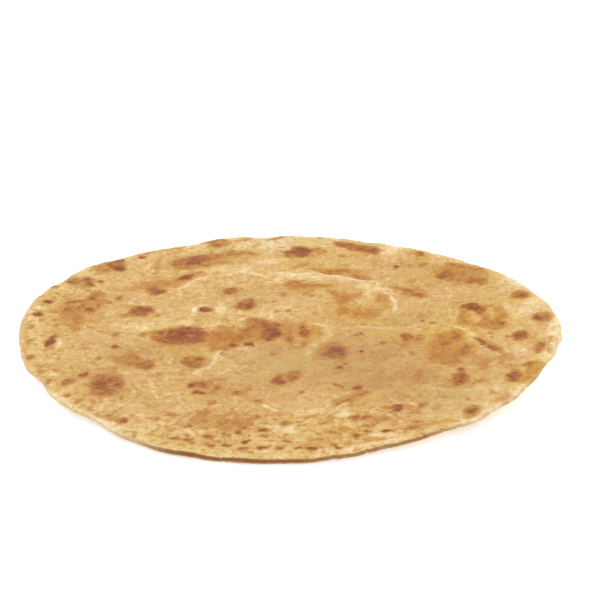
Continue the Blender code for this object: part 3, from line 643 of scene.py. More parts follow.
def top_marks(x, y):
    """Tone runs from 0, cream, through 0.4, baked dough, to 1, dark brown."""
    wx, wy = warped(x, y)
    front = smooth((-y - 58.0) / 18.0) * smooth((54.0 - x) / 20.0)
    left = smooth((-x - 66.0) / 20.0)
    busy_here = np.maximum(front, 0.8 * left)
    toast = bell_field(wx, wy, SPOTS)
    toast = soft_union(toast, line_field(wx, wy, STREAKS))
    toast = soft_union(toast, bell_field(wx, wy, SMALL_DOTS, 3.0))
    toast = toast * (1.0 + 0.38 * TOP.layers(x, y / 1.6, 2.6, 3) + 0.20 * TOP.layers(x - 60, y, 7.0, 2))
    # loose golden-brown flecks, thicker towards the front and the left
    fleck = smooth((TOP.layers(x + 60, y / 1.2, 2.3, 3) - 0.18) / 0.30)
    toast = soft_union(np.maximum(toast, 0.0), fleck * (0.20 + 0.26 * busy_here), 2.0)
    deep = bell_field(wx, wy, CORES, 3.2) * (1.0 + 0.85 * TOP.layers(x + 80, y / 1.6, 2.2, 3))
    haze = oval_field(wx, wy, HAZES, 4.0, power=2.0)
    haze = haze * (1.0 + 0.72 * TOP.layers(x, (y + 60) / 1.7, 5.0, 3) + 0.78 * FINE.layers(x - 20, y / 1.8, 2.4, 2))
    freckle = smooth((FINE.layers(x + 70, (y + 40) / 1.6, 2.9, 3) - 0.10) / 0.34)
    toast = soft_union(toast, np.minimum(np.maximum(haze, 0.0), 1.0) * freckle * 0.60, 2.0)
    halo = bell_field(wx, wy, SPOTS, 1.9, grow=1.55)
    pale = oval_field(wx, wy, PALES, 1.8)
    pale = np.maximum(pale, line_field(wx, wy, PALE_LINES))
    pale = pale * (1.0 + 0.5 * TOP.layers(x + 30, y + 30, 2.6, 3))
    # the creases' pale lines: dry flour plus painted highlight on the lit ridges
    pale = np.maximum(pale, crease_parts(x, y)[1] * (1.0 + 0.7 * TOP.layers(x, (y - 90) / 1.5, 2.2, 3)))
    light = smooth((TOP.layers(x - 30, (y + 90) / 1.2, 2.4, 3) - 0.18) / 0.30)
    pale = np.maximum(pale, light * (0.24 + 0.16 * busy_here))
    grey = oval_field(wx, wy, GREY_ZONES, 10.0, power=2.0)
    warm = oval_field(wx, wy, WARM_ZONES, 8.0, power=2.0)
    shade = np.zeros_like(x)
    for row in SHADES:
        shade = shade + row[5] * np.exp(-0.9 * oval(wx, wy, row) ** 2.4)
    margin = np.exp(-np.maximum(98.5 - np.hypot(x, y), 0.0) / 5.5)
    golden = golden_rim(np.arctan2(y, x)) * np.exp(-(np.maximum(98.0 - np.hypot(x, y), 0.0) / 3.6) ** 2)
    toast = soft_union(toast, 0.46 * golden * (1.0 + 0.5 * TOP.layers(x, y, 3.0, 2)), 2.0)
    margin = margin * (1.0 - np.minimum(golden, 1.0))
    tone = 0.345 + 0.045 * WIDE.layers(x - 140, y, 30.0, 2) + 0.085 * TOP.layers(x + 140, y / 1.4, 11.0, 2)
    tone = tone + 0.085 * TOP.layers(x - 140, y / 1.3, 4.6, 3)
    tone = tone + 0.065 * haze + 0.10 * halo + 0.04 * warm + 0.10 * grey + shade - 0.13 * margin
    tone = tone - 0.30 * pale * (1.0 - 0.7 * np.minimum(toast, 1.0))
    hue = 1.0 * WIDE.layers(x + 55, y - 35, 24.0, 2) + 1.1 * TOP.layers(x - 55, y + 20, 7.0, 4)
    hue = hue + 0.75 * margin
    amber = 0.9 * np.minimum(golden, 1.0)
    for row in AMBER:
        amber = amber + row[5] * np.exp(-0.7 * oval(wx, wy, row) ** 3)
    # the smoothest dough is still finely speckled
    tone = tone + 0.075 * np.minimum(grey, 1.0) * FINE.layers(x + 200, y / 1.3, 2.2, 3)
    return tone, toast, deep, haze, pale, grey, warm, hue, np.clip(amber, -1.0, 1.0)


def under_marks(x, y):
    wx, wy = warped(x + 200, y, 1.3, 0.5)
    wx = wx - 200
    toast = bell_field(wx, wy, UNDER_SPOTS, 5.4)
    toast = soft_union(toast, bell_field(wx, wy, UNDER_DOTS, 3.0))
    toast = toast * (1.0 + 0.26 * UNDER.layers(x, y, 2.6, 3) + 0.20 * UNDER.layers(x - 60, y, 7.0, 2))
    deep = bell_field(wx, wy, UNDER_CORES, 2.6) * (1.0 + 0.4 * UNDER.layers(x + 80, y, 1.7, 2))
    haze = oval_field(wx, wy, UNDER_HAZES, 4.5, power=2.0)
    haze = haze * (1.0 + 0.5 * UNDER.layers(x, y + 60, 5.0, 3))
    pale = 0.6 * smooth((UNDER.layers(x + 9, y, 12.0, 3) - 0.20) / 0.5)
    grey = 0.5 * smooth(UNDER.layers(x - 40, y, 34.0, 2) + 0.35)
    warm = 0.5 * smooth(UNDER.layers(x - 90, y, 30.0, 2) + 0.35)
    tone = 0.40 + 0.06 * WIDE.layers(x, y, 30.0, 2) + 0.085 * UNDER.layers(x + 140, y, 11.0, 2)
    tone = tone + 0.075 * UNDER.layers(x - 140, y, 4.6, 2)
    tone = tone + 0.10 * haze + 0.05 * grey - 0.26 * pale * (1.0 - 0.7 * np.minimum(toast, 1.0))
    hue = 1.1 * WIDE.layers(x + 95, y - 35, 24.0, 2) + 1.0 * UNDER.layers(x - 55, y + 20, 8.0, 3)
    amber = 0.8 * WIDE.layers(x - 30, y + 60, 22.0, 2)
    return tone, toast, deep, haze, pale, grey, warm, hue, amber


def top_relief(x, y):
    """Metres over the plain form of the upper face."""
    wx, wy = warped(x, y, 0.7, 0.25)
    z = 0.42 * WIDE.layers(x, y, 26.0, 2)
    z = z + 0.22 * TOP.layers(x, y, 9.5, 2)
    for row in BLISTERS:
        reach = row[2] * 1.3
        near = (np.abs(wx - row[0]) < reach) & (np.abs(wy - row[1]) < reach)
        if near.any():
            z[near] += 0.080 * row[2] * row[5] * dome(oval(wx[near], wy[near], row))
    for i, row in enumerate(SPOTS):
        if row[3] < 1.2:
            height = -0.10
        else:
            height = (0.30, 0.42, -0.18, 0.36)[i % 4] * min(1.0, 0.28 + 0.11 * row[3])
        reach = row[2] * 1.5
        near = (np.abs(wx - row[0]) < reach) & (np.abs(wy - row[1]) < reach)
        if near.any():
            z[near] += height * dome(oval(wx[near], wy[near], row) / 1.12)
    z = z + crease_parts(x, y)[0]
    for points, half, strength in PALE_LINES:
        xs, ys = [p[0] for p in points], [p[1] for p in points]
        near = ((wx > min(xs) - 6) & (wx < max(xs) + 6) & (wy > min(ys) - 6) & (wy < max(ys) + 6))
        d, along, side = line_distance(wx[near], wy[near], points)
        live = np.sin(np.pi * np.clip(along, 0.05, 0.95))
        z[near] += 0.42 * strength * live * np.exp(-(d / (0.55 + 0.45 * half)) ** 2)
    # the ring-shaped mark on the right: a burst bubble's lip
    ring = oval(wx, wy, (70.5, 8.0, 9.5, 5.6, 78))
    z = z + 0.42 * np.exp(-((ring - 1.0) / 0.24) ** 2) - 0.30 * smooth((0.95 - ring) / 0.5)
    # small ripples, stronger towards the front and the left
    ripple = 0.35 + 0.65 * smooth((-y - 40.0) / 30.0) + 0.4 * smooth((-x - 60.0) / 25.0)
    z = z + 0.13 * ripple * FINE.layers(x, y * 1.5, 3.6, 2)
    z = z + 0.055 * FINE.layers(x + 31, y, 2.0, 2)
    return z * MM


def under_relief(x, y):
    """Metres over the plain form of the lower face, never below it."""
    z = 0.16 + 0.12 * UNDER.layers(x, y, 16.0, 2) + 0.06 * UNDER.layers(x, y, 5.0, 2)
    for i, row in enumerate(UNDER_SPOTS):
        reach = row[2] * 1.3
        near = (np.abs(x - row[0]) < reach) & (np.abs(y - row[1]) < reach)
        if near.any():
            z[near] -= 0.12 * dome(oval(x[near], y[near], row))
    return np.maximum(z, 0.0) * MM


# =========================================================================
# 5. The surface: upper face, rounded torn rim, lower face
# =========================================================================
RIM_A, RIM_B = Noise(301), Noise(302)


def round_noise(noise, angle, length, octaves=2):
    """Noise along the rim that meets itself; length in mm."""
    turn = 99.0 / length
    return noise.layers(turn * np.cos(angle) + 7.7, turn * np.sin(angle) + 3.1, 1.0, octaves)


# small steps in the rim: where, reach (degrees), how far out (m)
RIM_STEPS = (
    (-80.0, 7.0, 0.0010), (-64.0, 5.5, 0.0004), (-151.0, 4.4, -0.0018), (-131.0, 4.0, -0.0015),
    (-125.0, 5.0, -0.0004), (-158.0, 5.0, 0.0006), (-58.5, 4.5, -0.0010), (-45.0, 4.0, -0.0010),
    (-34.5, 4.0, -0.0009), (-22.5, 3.0, -0.0008), (154.5, 3.8, -0.0019), (122.0, 7.0, -0.0008),
    (135.5, 5.5, -0.0015), (114.0, 3.0, -0.0015), (95.5, 4.2, -0.0029), (70.0, 3.6, -0.0008),
    (66.0, 6.0, -0.0020), (59.5, 4.0, -0.0015), (33.0, 6.0, -0.0008), (23.0, 4.0, -0.0005),
    (12.0, 6.0, -0.0007),
)


def fine_edge(angle):
    """The rim's outermost radius with its small unevenness and cracks."""
    r = edge_radius(angle)
    r = r + 0.00030 * round_noise(RIM_A, angle, 9.0, 3)
    crack = round_noise(RIM_B, angle, 4.5, 2)
    r = r - 0.00055 * smooth((crack - 0.42) / 0.35)
    for at, reach, out in RIM_STEPS:
        r = r + out * np.exp(-(turn_between(np.degrees(angle), at) / reach) ** 2)
    # knobblier along the right and the back, where the dough tore thin
    a = turn_between(np.degrees(angle), 0.0)
    r = r + 0.00030 * smooth((a + 45.0) / 20.0) * smooth((80.0 - a) / 25.0) * round_noise(RIM_B, angle + 3.0, 5.2, 2)
    r = r + 0.00034 * smooth((-a - 118.0) / 12.0) * smooth((a + 178.0) / 14.0) * round_noise(RIM_A, angle + 5.0, 4.4, 2)
    return r


def fine_lift(angle):
    lift = rim_lift(angle)
    wave = 0.00030 * round_noise(RIM_A, angle + 2.0, 13.0, 2)
    return np.maximum(lift + wave * smooth(lift / 0.0012 + 0.25), 0.00006)


def blunt(angle):
    """1 along the front, where the side shows and is coloured darkest: part browning, part painted shade."""
    a = np.degrees(angle)
    a = np.where(a > 90.0, a - 360.0, a)
    return smooth((a + 125.0) / 16.0) * smooth((-50.0 - a) / 14.0)


def rim_thickness(angle):
    """Thin at the curled ends, thicker at the front where the dough was cut
    blunt."""
    thick = 0.0003 * np.exp(-(turn_between(np.degrees(angle), -106.0) / 13.0) ** 2)
    return (RIM_THICKNESS + 0.0005 * blunt(angle) + thick) * (1.0 + 0.18 * round_noise(RIM_B, angle + 1.0, 8.0, 2))


def bottom(X, Y):
    """The lower face in the form's own frame, metres."""
    r, a = np.hypot(X, Y), np.arctan2(Y, X)
    R = fine_edge(a)
    t = np.maximum(r - REST_RADIUS, 0.0) / (R - REST_RADIUS)
    z = fine_lift(a) * np.minimum(t, 1.0) ** CURL_POWER
    inward = R - r
    return z + under_relief((X - SHIFT_X) / MM, (Y - SHIFT_Y) / MM) * smooth(inward / 0.005)


def plain_bottom(X, Y):
    r, a = np.hypot(X, Y), np.arctan2(Y, X)
    R = fine_edge(a)
    t = np.maximum(r - REST_RADIUS, 0.0) / (R - REST_RADIUS)
    return fine_lift(a) * np.minimum(t, 1.0) ** CURL_POWER


def top(X, Y):
    r, a = np.hypot(X, Y), np.arctan2(Y, X)
    R = fine_edge(a)
    inward = np.maximum(R - r, 0.0)
    rim = rim_thickness(a)
    z = plain_bottom(X, Y) + rim + (THICKNESS - rim) * smooth(inward / RIM_TAPER)
    puff = np.zeros_like(z)
    for px, py, long, wide, turn, height in PUFFS:
        d = oval(X, Y, (px, py, long, wide, turn))
        puff = np.maximum(puff, height * smooth((1.0 + PUFF_EDGE - d) / (2 * PUFF_EDGE)))
    z = z + puff * smooth(inward / RIM_TAPER)
    relief = top_relief((X - SHIFT_X) / MM, (Y - SHIFT_Y) / MM)
    return z + relief * (0.12 + 0.88 * smooth((inward - 0.0005) / 0.006))


TOP_STEP = 0.00066
UNDER_STEP = 0.00132
RIM_ROWS = 9


def ring_counts(step, reach):
    rings = int(round(reach / step))
    return [(k / rings, max(6, int(round(2 * math.pi * k * reach / rings / step))))
            for k in range(1, rings + 1)]


def zip_rings(a_first, a_count, b_first, b_count, a_phase=0.0, b_phase=0.0):
    """Triangles between an inner and an outer ring, seen from above."""
    faces = []
    i = j = 0
    while i < a_count or j < b_count:
        next_a = (i + 1 + a_phase) / a_count
        next_b = (j + 1 + b_phase) / b_count
        a0, b0 = a_first + i % a_count, b_first + j % b_count
        if j < b_count and (i >= a_count or next_b <= next_a):
            faces.append((a0, b0, b_first + (j + 1) % b_count))
            j += 1
        else:
            faces.append((a0, b0, a_first + (i + 1) % a_count))
            i += 1
    return faces


def build_bread():
    X, Y, Z, reach_top, reach_under, down, low = [], [], [], [], [], [], []
    top_faces, under_faces = [], []
    total = 0

    def add(x, y, z, rt, ru, side, below):
        nonlocal total
        down.append(np.broadcast_to(side, x.shape))
        low.append(np.broadcast_to(below, x.shape))
        X.append(x); Y.append(y); Z.append(z)
        reach_top.append(np.broadcast_to(rt, x.shape)); reach_under.append(np.broadcast_to(ru, x.shape))
        first = total
        total += len(x)
        return first

    def face_disc(step, surface, top_side):
        """One face, from the middle to where the rim begins."""
        one = np.zeros(1)
        middle = add(one, one, surface(one, one), 0.0, 0.0, 0.0, float(not top_side))
        inner, inner_count = None, 0
        for share, count in ring_counts(step, MEAN_RADIUS):
            a = np.arange(count) * 2 * math.pi / count
            r = share * (fine_edge(a) - 0.5 * rim_thickness(a))
            x, y = r * np.cos(a), r * np.sin(a)
            edge = 0.0 if top_side else np.exp(-(1.0 - share) * MEAN_RADIUS / 0.0025)
            first = add(x, y, surface(x, y), r, r, edge, float(not top_side))
            made = ([(middle, first + i, first + (i + 1) % count) for i in range(count)]
                    if inner is None else zip_rings(inner, inner_count, first, count))
            (top_faces if top_side else under_faces).extend(
                made if top_side else [(p, r_, q) for p, q, r_ in made])
            inner, inner_count = first, count
        return inner, inner_count

    top_first, top_count = face_disc(TOP_STEP, top, True)
    under_first, under_count = face_disc(UNDER_STEP, bottom, False)

    # the rim: a rough half-round from the upper edge down to the lower one
    count = top_count
    a = np.arange(count) * 2 * math.pi / count
    half = 0.5 * rim_thickness(a)
    r0 = fine_edge(a) - half
    x0, y0 = r0 * np.cos(a), r0 * np.sin(a)
    z_top, z_low = top(x0, y0), bottom(x0, y0)
    middle_z, tall = 0.5 * (z_top + z_low), 0.5 * (z_top - z_low)
    arc_mm = a * 99.0
    previous = top_first
    for row in range(1, RIM_ROWS):
        share = row / RIM_ROWS
        # the side's colour down the rim: darkest in its upper third, browning plus painted shade, and painted lighter
        # towards the lower edge as light from the floor
        brown = float(smooth((share + 0.02) / 0.30) * (1.0 - 0.70 * smooth((share - 0.46) / 0.36)))
        turn = math.pi * (0.5 - row / RIM_ROWS)
        rough = 1.0 + 0.20 * RIM_A.layers(arc_mm / 1.0 + 900, np.full_like(a, row * 1.3), 2.4, 2)
        out = half * math.cos(turn) ** 0.9 * rough
        z = middle_z + tall * math.sin(turn) * (1.0 + 0.05 * (rough - 1.0))
        r = r0 + out
        along = half * 2 * math.pi / 2 * row / RIM_ROWS
        first = add(r * np.cos(a), r * np.sin(a), np.maximum(z, 0.00002), r0 + along,
                    r0 + half * math.pi - along, brown, float(smooth((share - 0.30) / 0.40)))
        group = top_faces if row <= RIM_ROWS // 2 + 1 else under_faces
        for i in range(count):
            j = (i + 1) % count
            group.append((previous + i, first + i, first + j))
            group.append((previous + i, first + j, previous + j))
        previous = first
    under_faces.extend((q, p, r_) for p, q, r_ in zip_rings(under_first, under_count, previous, count))
    return (np.concatenate(X), np.concatenate(Y), np.concatenate(Z),
            np.concatenate(reach_top), np.concatenate(reach_under), np.concatenate(down), np.concatenate(low),
            top_faces, under_faces)


X, Y, Z, reach_top, reach_under, down, low, top_faces, under_faces = build_bread()
mesh = bpy.data.meshes.new("bread_crust")
points = np.stack([X - SHIFT_X, Y - SHIFT_Y, Z], axis=1)
faces = np.array(top_faces + under_faces, np.int64)
mesh.vertices.add(len(points))
mesh.vertices.foreach_set("co", points.astype(np.float32).ravel())
mesh.loops.add(faces.size)
mesh.loops.foreach_set("vertex_index", faces.astype(np.int32).ravel())
mesh.polygons.add(len(faces))
mesh.polygons.foreach_set("loop_start", np.arange(0, faces.size, 3, dtype=np.int32))
mesh.polygons.foreach_set("loop_total", np.full(len(faces), 3, np.int32))
mesh.update(calc_edges=True)
mesh.validate()
mesh.shade_smooth()

# Two discs side by side on the diagonal: the upper face with the upper half
# of the rim, and the lower face with the rest.
angle = np.arctan2(Y, X)
uv_top_size, uv_under_size = 0.346, 0.222
scale_top = uv_top_size / (reach_top[np.unique(np.array(top_faces))].max())
scale_under = uv_under_size / (reach_under[np.unique(np.array(under_faces))].max())
uv_top = np.stack([0.351 + scale_top * reach_top * np.cos(angle),
                   0.351 + scale_top * reach_top * np.sin(angle)], axis=1)
uv_under = np.stack([1 - 0.227 - scale_under * reach_under * np.cos(angle),
                     1 - 0.227 + scale_under * reach_under * np.sin(angle)], axis=1)
loops_uv = np.concatenate([uv_top[np.array(top_faces).ravel()], uv_under[np.array(under_faces).ravel()]])
layer = mesh.uv_layers.new(name="OFBake")
layer.data.foreach_set("uv", loops_uv.astype(np.float32).ravel())

# the marks, kept on the vertices
x_mm, y_mm = points[:, 0] / MM, points[:, 1] / MM
is_top = np.zeros(len(points), bool)
is_top[np.unique(np.array(top_faces))] = True
marks_top, marks_under = top_marks(x_mm, y_mm), under_marks(x_mm, y_mm)
inward_mm = (fine_edge(angle) - np.hypot(X, Y)) / MM
NAMES = ("tone", "toast", "deep", "haze", "pale", "grey", "warm", "hue", "amber")
for name, upper, lower in zip(NAMES, marks_top, marks_under):
    values = np.where(is_top, upper, lower)
    mesh.attributes.new(name, "FLOAT", "POINT").data.foreach_set("value", values.astype(np.float32))
mesh.attributes.new("rim", "FLOAT", "POINT").data.foreach_set(
    "value", np.exp(-np.maximum(inward_mm, 0.0) / 2.6).astype(np.float32))
in_front = np.where(np.degrees(angle) > 90.0, np.degrees(angle) - 360.0, np.degrees(angle))
# the side's colour: browning plus painted shade, strongest along the front where the side shows
side_brown_and_shade = down * (0.24 + 0.76 * blunt(angle))
side_brown_and_shade = side_brown_and_shade * (1.0 - 0.20 * smooth((in_front + 92.0) / 14.0) * smooth((20.0 - in_front) / 30.0))
mesh.attributes.new("side", "FLOAT", "POINT").data.foreach_set("value", side_brown_and_shade.astype(np.float32))
# the thin rim's paleness: flour, plus painted glow of light shining through the thin dough
pale_rim_flour_and_glow = 0.85 * np.exp(-np.maximum(inward_mm, 0.0) / 1.0) * (1.0 - blunt(angle)) * (1.0 - 0.8 * low)
pale_rim_flour_and_glow = pale_rim_flour_and_glow * (1.0 - 0.85 * np.minimum(golden_rim(angle), 1.0))
mesh.attributes.new("edge", "FLOAT", "POINT").data.foreach_set("value", pale_rim_flour_and_glow.astype(np.float32))

bread = bpy.data.objects.new("bread", mesh)
bpy.context.scene.collection.objects.link(bread)


# =========================================================================
# 6. Materials
# =========================================================================
# what the studio light multiplies a surface's colour by, and the sheen it adds
LIGHT = (1.30, 1.30, 1.30)
SHEEN = (0.020, 0.022, 0.026)


def seen(r, g, b):
    """The surface colour that looks like this sRGB colour in the studio."""
    out = []
    for c, light, sheen in zip((r, g, b), LIGHT, SHEEN):
        c = c / 255.0
        c = c / 12.92 if c <= 0.04045 else ((c + 0.055) / 1.055) ** 2.4
        out.append(min(0.95, max(0.002, c - sheen) / light))
    return (*out, 1.0)


class Graph:
    def __init__(self, name):
        self.material = bpy.data.materials.new(name)
        self.material.use_nodes = True
        self.tree = self.material.node_tree
        self.tree.nodes.clear()
        self.column = 0

    def add(self, kind, **settings):
        n = self.tree.nodes.new(kind)
        self.column += 1
        n.location = (180 * (self.column % 14), -220 * (self.column // 14))
        for key, value in settings.items():
            setattr(n, key, value)
        return n

    def put(self, socket, value):
        if isinstance(value, bpy.types.NodeSocket):
            self.tree.links.new(value, socket)
        elif value is not None:
            socket.default_value = value

    def math(self, op, a, b=None, c=None, clamp=False):
        n = self.add("ShaderNodeMath", operation=op, use_clamp=clamp)
        for socket, value in zip(n.inputs, (a, b, c)):
            self.put(socket, value)
        return n.outputs[0]

    def scaled(self, value, low, high, to_low=0.0, to_high=1.0, curve="SMOOTHSTEP"):
        n = self.add("ShaderNodeMapRange", interpolation_type=curve)
        for socket, v in zip(n.inputs[:5], (value, low, high, to_low, to_high)):
            self.put(socket, v)
        return n.outputs[0]

    def mix(self, factor, a, b, blend="MIX"):
        n = self.add("ShaderNodeMix", data_type="RGBA", blend_type=blend)
        n.clamp_factor = True
        self.put(n.inputs[0], factor)
        self.put(n.inputs[6], a)
        self.put(n.inputs[7], b)
        return n.outputs[2]

    def noise(self, vector, scale, detail=2.0, rough=0.5, distort=0.0):
        n = self.add("ShaderNodeTexNoise", noise_dimensions="3D")
        self.put(n.inputs["Vector"], vector)
        n.inputs["Scale"].default_value = scale
        n.inputs["Detail"].default_value = detail
        n.inputs["Roughness"].default_value = rough
        n.inputs["Distortion"].default_value = distort
        return n.outputs["Fac"]

    def cells(self, vector, scale, feature="F1"):
        n = self.add("ShaderNodeTexVoronoi", voronoi_dimensions="3D", feature=feature)
        self.put(n.inputs["Vector"], vector)
        n.inputs["Scale"].default_value = scale
        return n.outputs["Distance"], n.outputs["Color"]

    def value_of(self, name):
        n = self.add("ShaderNodeAttribute", attribute_type="GEOMETRY", attribute_name=name)
        return n.outputs["Fac"]

    def ramp(self, factor, stops):
        n = self.add("ShaderNodeValToRGB")
        ramp = n.color_ramp
        while len(ramp.elements) < len(stops):
            ramp.elements.new(0.5)
        for element, (at, colour) in zip(ramp.elements, stops):
            element.position = at
            element.color = colour
        self.put(n.inputs[0], factor)
        return n.outputs["Color"]


def crust_material():
    g = Graph("bread_crust")
    place = g.add("ShaderNodeTexCoord").outputs["Object"]
    tone, toast, deep, haze = (g.value_of(n) for n in ("tone", "toast", "deep", "haze"))
    pale, grey, warm, hue = (g.value_of(n) for n in ("pale", "grey", "warm", "hue"))
    rim, side, edge = g.value_of("rim"), g.value_of("side"), g.value_of("edge")

    patches = g.noise(place, 360.0, 3.0, 0.60, 0.3)
    grains = g.noise(place, 980.0, 3.0, 0.65, 0.2)
    dust = g.noise(place, 2700.0, 1.0, 0.6)

    def swing(value, amount, base):
        return g.math("MULTIPLY_ADD", g.math("SUBTRACT", value, 0.5), amount, base)

    # the browned marks break up into darker and paler blotches
    blotch = g.noise(place, 300.0, 4.0, 0.66, 0.5)
    toasted = g.math("MULTIPLY", toast, g.math("MULTIPLY_ADD", blotch, 2.10, -0.03))
    burnt = g.math("MULTIPLY", deep, g.math("MULTIPLY_ADD", blotch, 2.20, -0.10))
    wisps = g.noise(place, 430.0, 4.0, 0.68, 0.9)
    haze = g.math("MULTIPLY", haze, g.math("MULTIPLY_ADD", g.scaled(wisps, 0.30, 0.70), 1.50, 0.25))

    # one tone, cream to dark brown, ragged grain by grain
    over_haze = g.math("MULTIPLY_ADD", haze, -0.17, 0.50)
    level = g.math("MULTIPLY_ADD", toasted, over_haze, g.math("MULTIPLY_ADD", haze, 0.17, tone))
    level = g.math("MULTIPLY_ADD", burnt, 0.15, level)
    level = swing(patches, 0.74, level)
    level = swing(grains, 0.80, level)
    level = swing(dust, 0.44, level)
    level = g.math("MULTIPLY_ADD", g.math("MULTIPLY", rim, patches), -0.24, level)
    colour = g.ramp(g.math("MULTIPLY", level, 1 / 1.2, clamp=True), (
        (0.000, seen(248, 228, 190)),
        (0.100, seen(238, 211, 162)),
        (0.200, seen(227, 193, 139)),
        (0.330, seen(212, 174, 114)),
        (0.450, seen(200, 157, 96)),
        (0.570, seen(189, 138, 81)),
        (0.680, seen(179, 121, 71)),
        (0.790, seen(169, 106, 67)),
        (0.890, seen(157, 94, 63)),
        (1.000, seen(142, 82, 59)),
    ))
    # small drifts of hue, a little yellower or a little pinker
    drift = g.noise(place, 520.0, 3.0, 0.65, 0.4)
    colour = g.mix(g.scaled(drift, 0.48, 0.64), colour, (0.980, 1.045, 0.82, 1.0), "MULTIPLY")
    colour = g.mix(g.scaled(drift, 0.52, 0.36), colour, (1.05, 0.945, 1.06, 1.0), "MULTIPLY")
    plain = g.math("SUBTRACT", 1.0, toast, clamp=True)
    # the ground drifts between a yellower and a pinker tan
    yellow = g.math("MULTIPLY", g.scaled(hue, 0.0, 0.9), plain)
    pink = g.math("MULTIPLY", g.scaled(hue, 0.0, -0.9), plain)
    colour = g.mix(g.math("MULTIPLY", yellow, 0.60), colour, seen(213, 180, 105))
    colour = g.mix(g.math("MULTIPLY", pink, 0.55), colour, seen(218, 173, 122))
    colour = g.mix(g.math("MULTIPLY", g.math("MULTIPLY", warm, 0.36), plain), colour, seen(218, 176, 103))
    colour = g.mix(g.math("MULTIPLY", g.math("MULTIPLY", grey, 0.42), plain), colour, seen(197, 156, 106))
    # golden clouds are more orange than the ground, and so is a mark's edge
    gold = g.math("MULTIPLY", g.scaled(swing(grains, 0.6, haze), 0.12, 1.15), plain)
    colour = g.mix(g.math("MULTIPLY", gold, 0.46), colour, seen(198, 140, 72))
    ring = g.math("MULTIPLY", g.scaled(toasted, 0.06, 0.34), g.scaled(toasted, 0.80, 0.42))
    colour = g.mix(g.math("MULTIPLY", ring, 0.42), colour, seen(198, 139, 73))
    core = g.scaled(swing(grains, 0.7, burnt), 0.15, 1.10)
    colour = g.mix(g.math("MULTIPLY", core, 0.60), colour, seen(141, 85, 64))
    # dry flour lies where the dough is pale
    powder = swing(dust, 1.1, swing(grains, 1.3, pale))
    powder = g.math("MULTIPLY", g.scaled(powder, 0.22, 1.05), g.scaled(pale, 0.02, 0.25))
    colour = g.mix(g.math("MULTIPLY", powder, 0.74), colour, seen(247, 223, 181))
    # the rounded side has browned against the pan, and is darker still with painted shade
    colour = g.mix(g.math("MULTIPLY", side, 0.96), colour, seen(147, 93, 59))
    # and the thin rim is pale: flour, plus painted glow of light through the thin dough
    rim_flour_and_glow = g.math("MULTIPLY", edge, g.scaled(wisps, 0.36, 0.64, 0.20, 1.0))
    colour = g.mix(g.math("MULTIPLY", rim_flour_and_glow, 0.72), colour, seen(250, 234, 202))

    # amber and dusky places
    amber = g.value_of("amber")
    colour = g.mix(g.scaled(amber, 0.0, 1.0, curve="LINEAR"), colour, (1.02, 1.0, 0.68, 1.0), "MULTIPLY")
    colour = g.mix(g.scaled(amber, 0.0, -1.0, curve="LINEAR"), colour, (0.965, 1.06, 1.22, 1.0), "MULTIPLY")

    # bran: small dark flecks in the dough, and pale grains
    distance, tint = g.cells(place, 640.0)
    split = g.add("ShaderNodeSeparateColor")
    g.put(split.inputs[0], tint)
    fleck = g.math("MULTIPLY", g.scaled(distance, 0.36, 0.16), g.scaled(split.outputs[0], 0.78, 0.84))
    fleck = g.math("MULTIPLY", fleck, g.scaled(split.outputs[1], 0.0, 1.0, 0.25, 0.85))
    colour = g.mix(fleck, colour, seen(170, 112, 64))
    distance2, tint2 = g.cells(place, 1050.0)
    split2 = g.add("ShaderNodeSeparateColor")
    g.put(split2.inputs[0], tint2)
    grain = g.math("MULTIPLY", g.scaled(distance2, 0.42, 0.12), g.scaled(split2.outputs[2], 0.80, 0.90))
    grain = g.math("MULTIPLY", grain, g.math("MULTIPLY_ADD", plain, 0.75, 0.25))
    colour = g.mix(g.math("MULTIPLY", grain, 0.50), colour, seen(245, 218, 172))

    rough = g.scaled(grains, 0.3, 0.7, 0.80, 0.64, "LINEAR")
    rough = g.math("MULTIPLY_ADD", toast, -0.08, rough)
    rough = g.math("MULTIPLY_ADD", powder, 0.12, rough, clamp=True)

    relief = g.math("MULTIPLY_ADD", grains, 0.62, g.math("MULTIPLY", patches, 0.80))
    relief = g.math("MULTIPLY_ADD", dust, 0.26, relief)
    relief = g.math("MULTIPLY_ADD", fleck, 0.16, relief)
    relief = g.math("MULTIPLY_ADD", grain, 0.18, relief)
    bump = g.add("ShaderNodeBump")
    bump.inputs["Strength"].default_value = 1.0
    bump.inputs["Distance"].default_value = 0.00060
    g.put(bump.inputs["Height"], relief)

    shader = g.add("ShaderNodeBsdfPrincipled")
    g.put(shader.inputs["Base Color"], colour)
    g.put(shader.inputs["Roughness"], rough)
    g.put(shader.inputs["Normal"], bump.outputs[0])
    shader.inputs["Specular IOR Level"].default_value = 0.20
    out = g.add("ShaderNodeOutputMaterial")
    g.put(out.inputs["Surface"], shader.outputs[0])
    return g.material


mesh.materials.append(crust_material())
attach(bread, "root")
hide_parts("chapati")


# =========================================================================
# 7. The studio: white floor, soft light from behind on the left, camera
# =========================================================================
floor_mesh = bpy.data.meshes.new("floor")
FLOOR = 12.0
floor_mesh.from_pydata(
    [(-FLOOR, -FLOOR, 0), (FLOOR, -FLOOR, 0), (FLOOR, FLOOR, 0), (-FLOOR, FLOOR, 0)], [], [(0, 1, 2, 3)])
floor = bpy.data.objects.new("floor", floor_mesh)
bpy.context.scene.collection.objects.link(floor)
white = bpy.data.materials.new("floor_white")
white.use_nodes = True
paint = white.node_tree.nodes["Principled BSDF"]
paint.inputs["Base Color"].default_value = (0.82, 0.82, 0.82, 1.0)
paint.inputs["Roughness"].default_value = 0.9
paint.inputs["Specular IOR Level"].default_value = 0.1
paint.inputs["Emission Color"].default_value = (1.0, 0.976, 0.958, 1.0)   # lit from below, as a white light table
paint.inputs["Emission Strength"].default_value = 0.56
floor_mesh.materials.append(white)

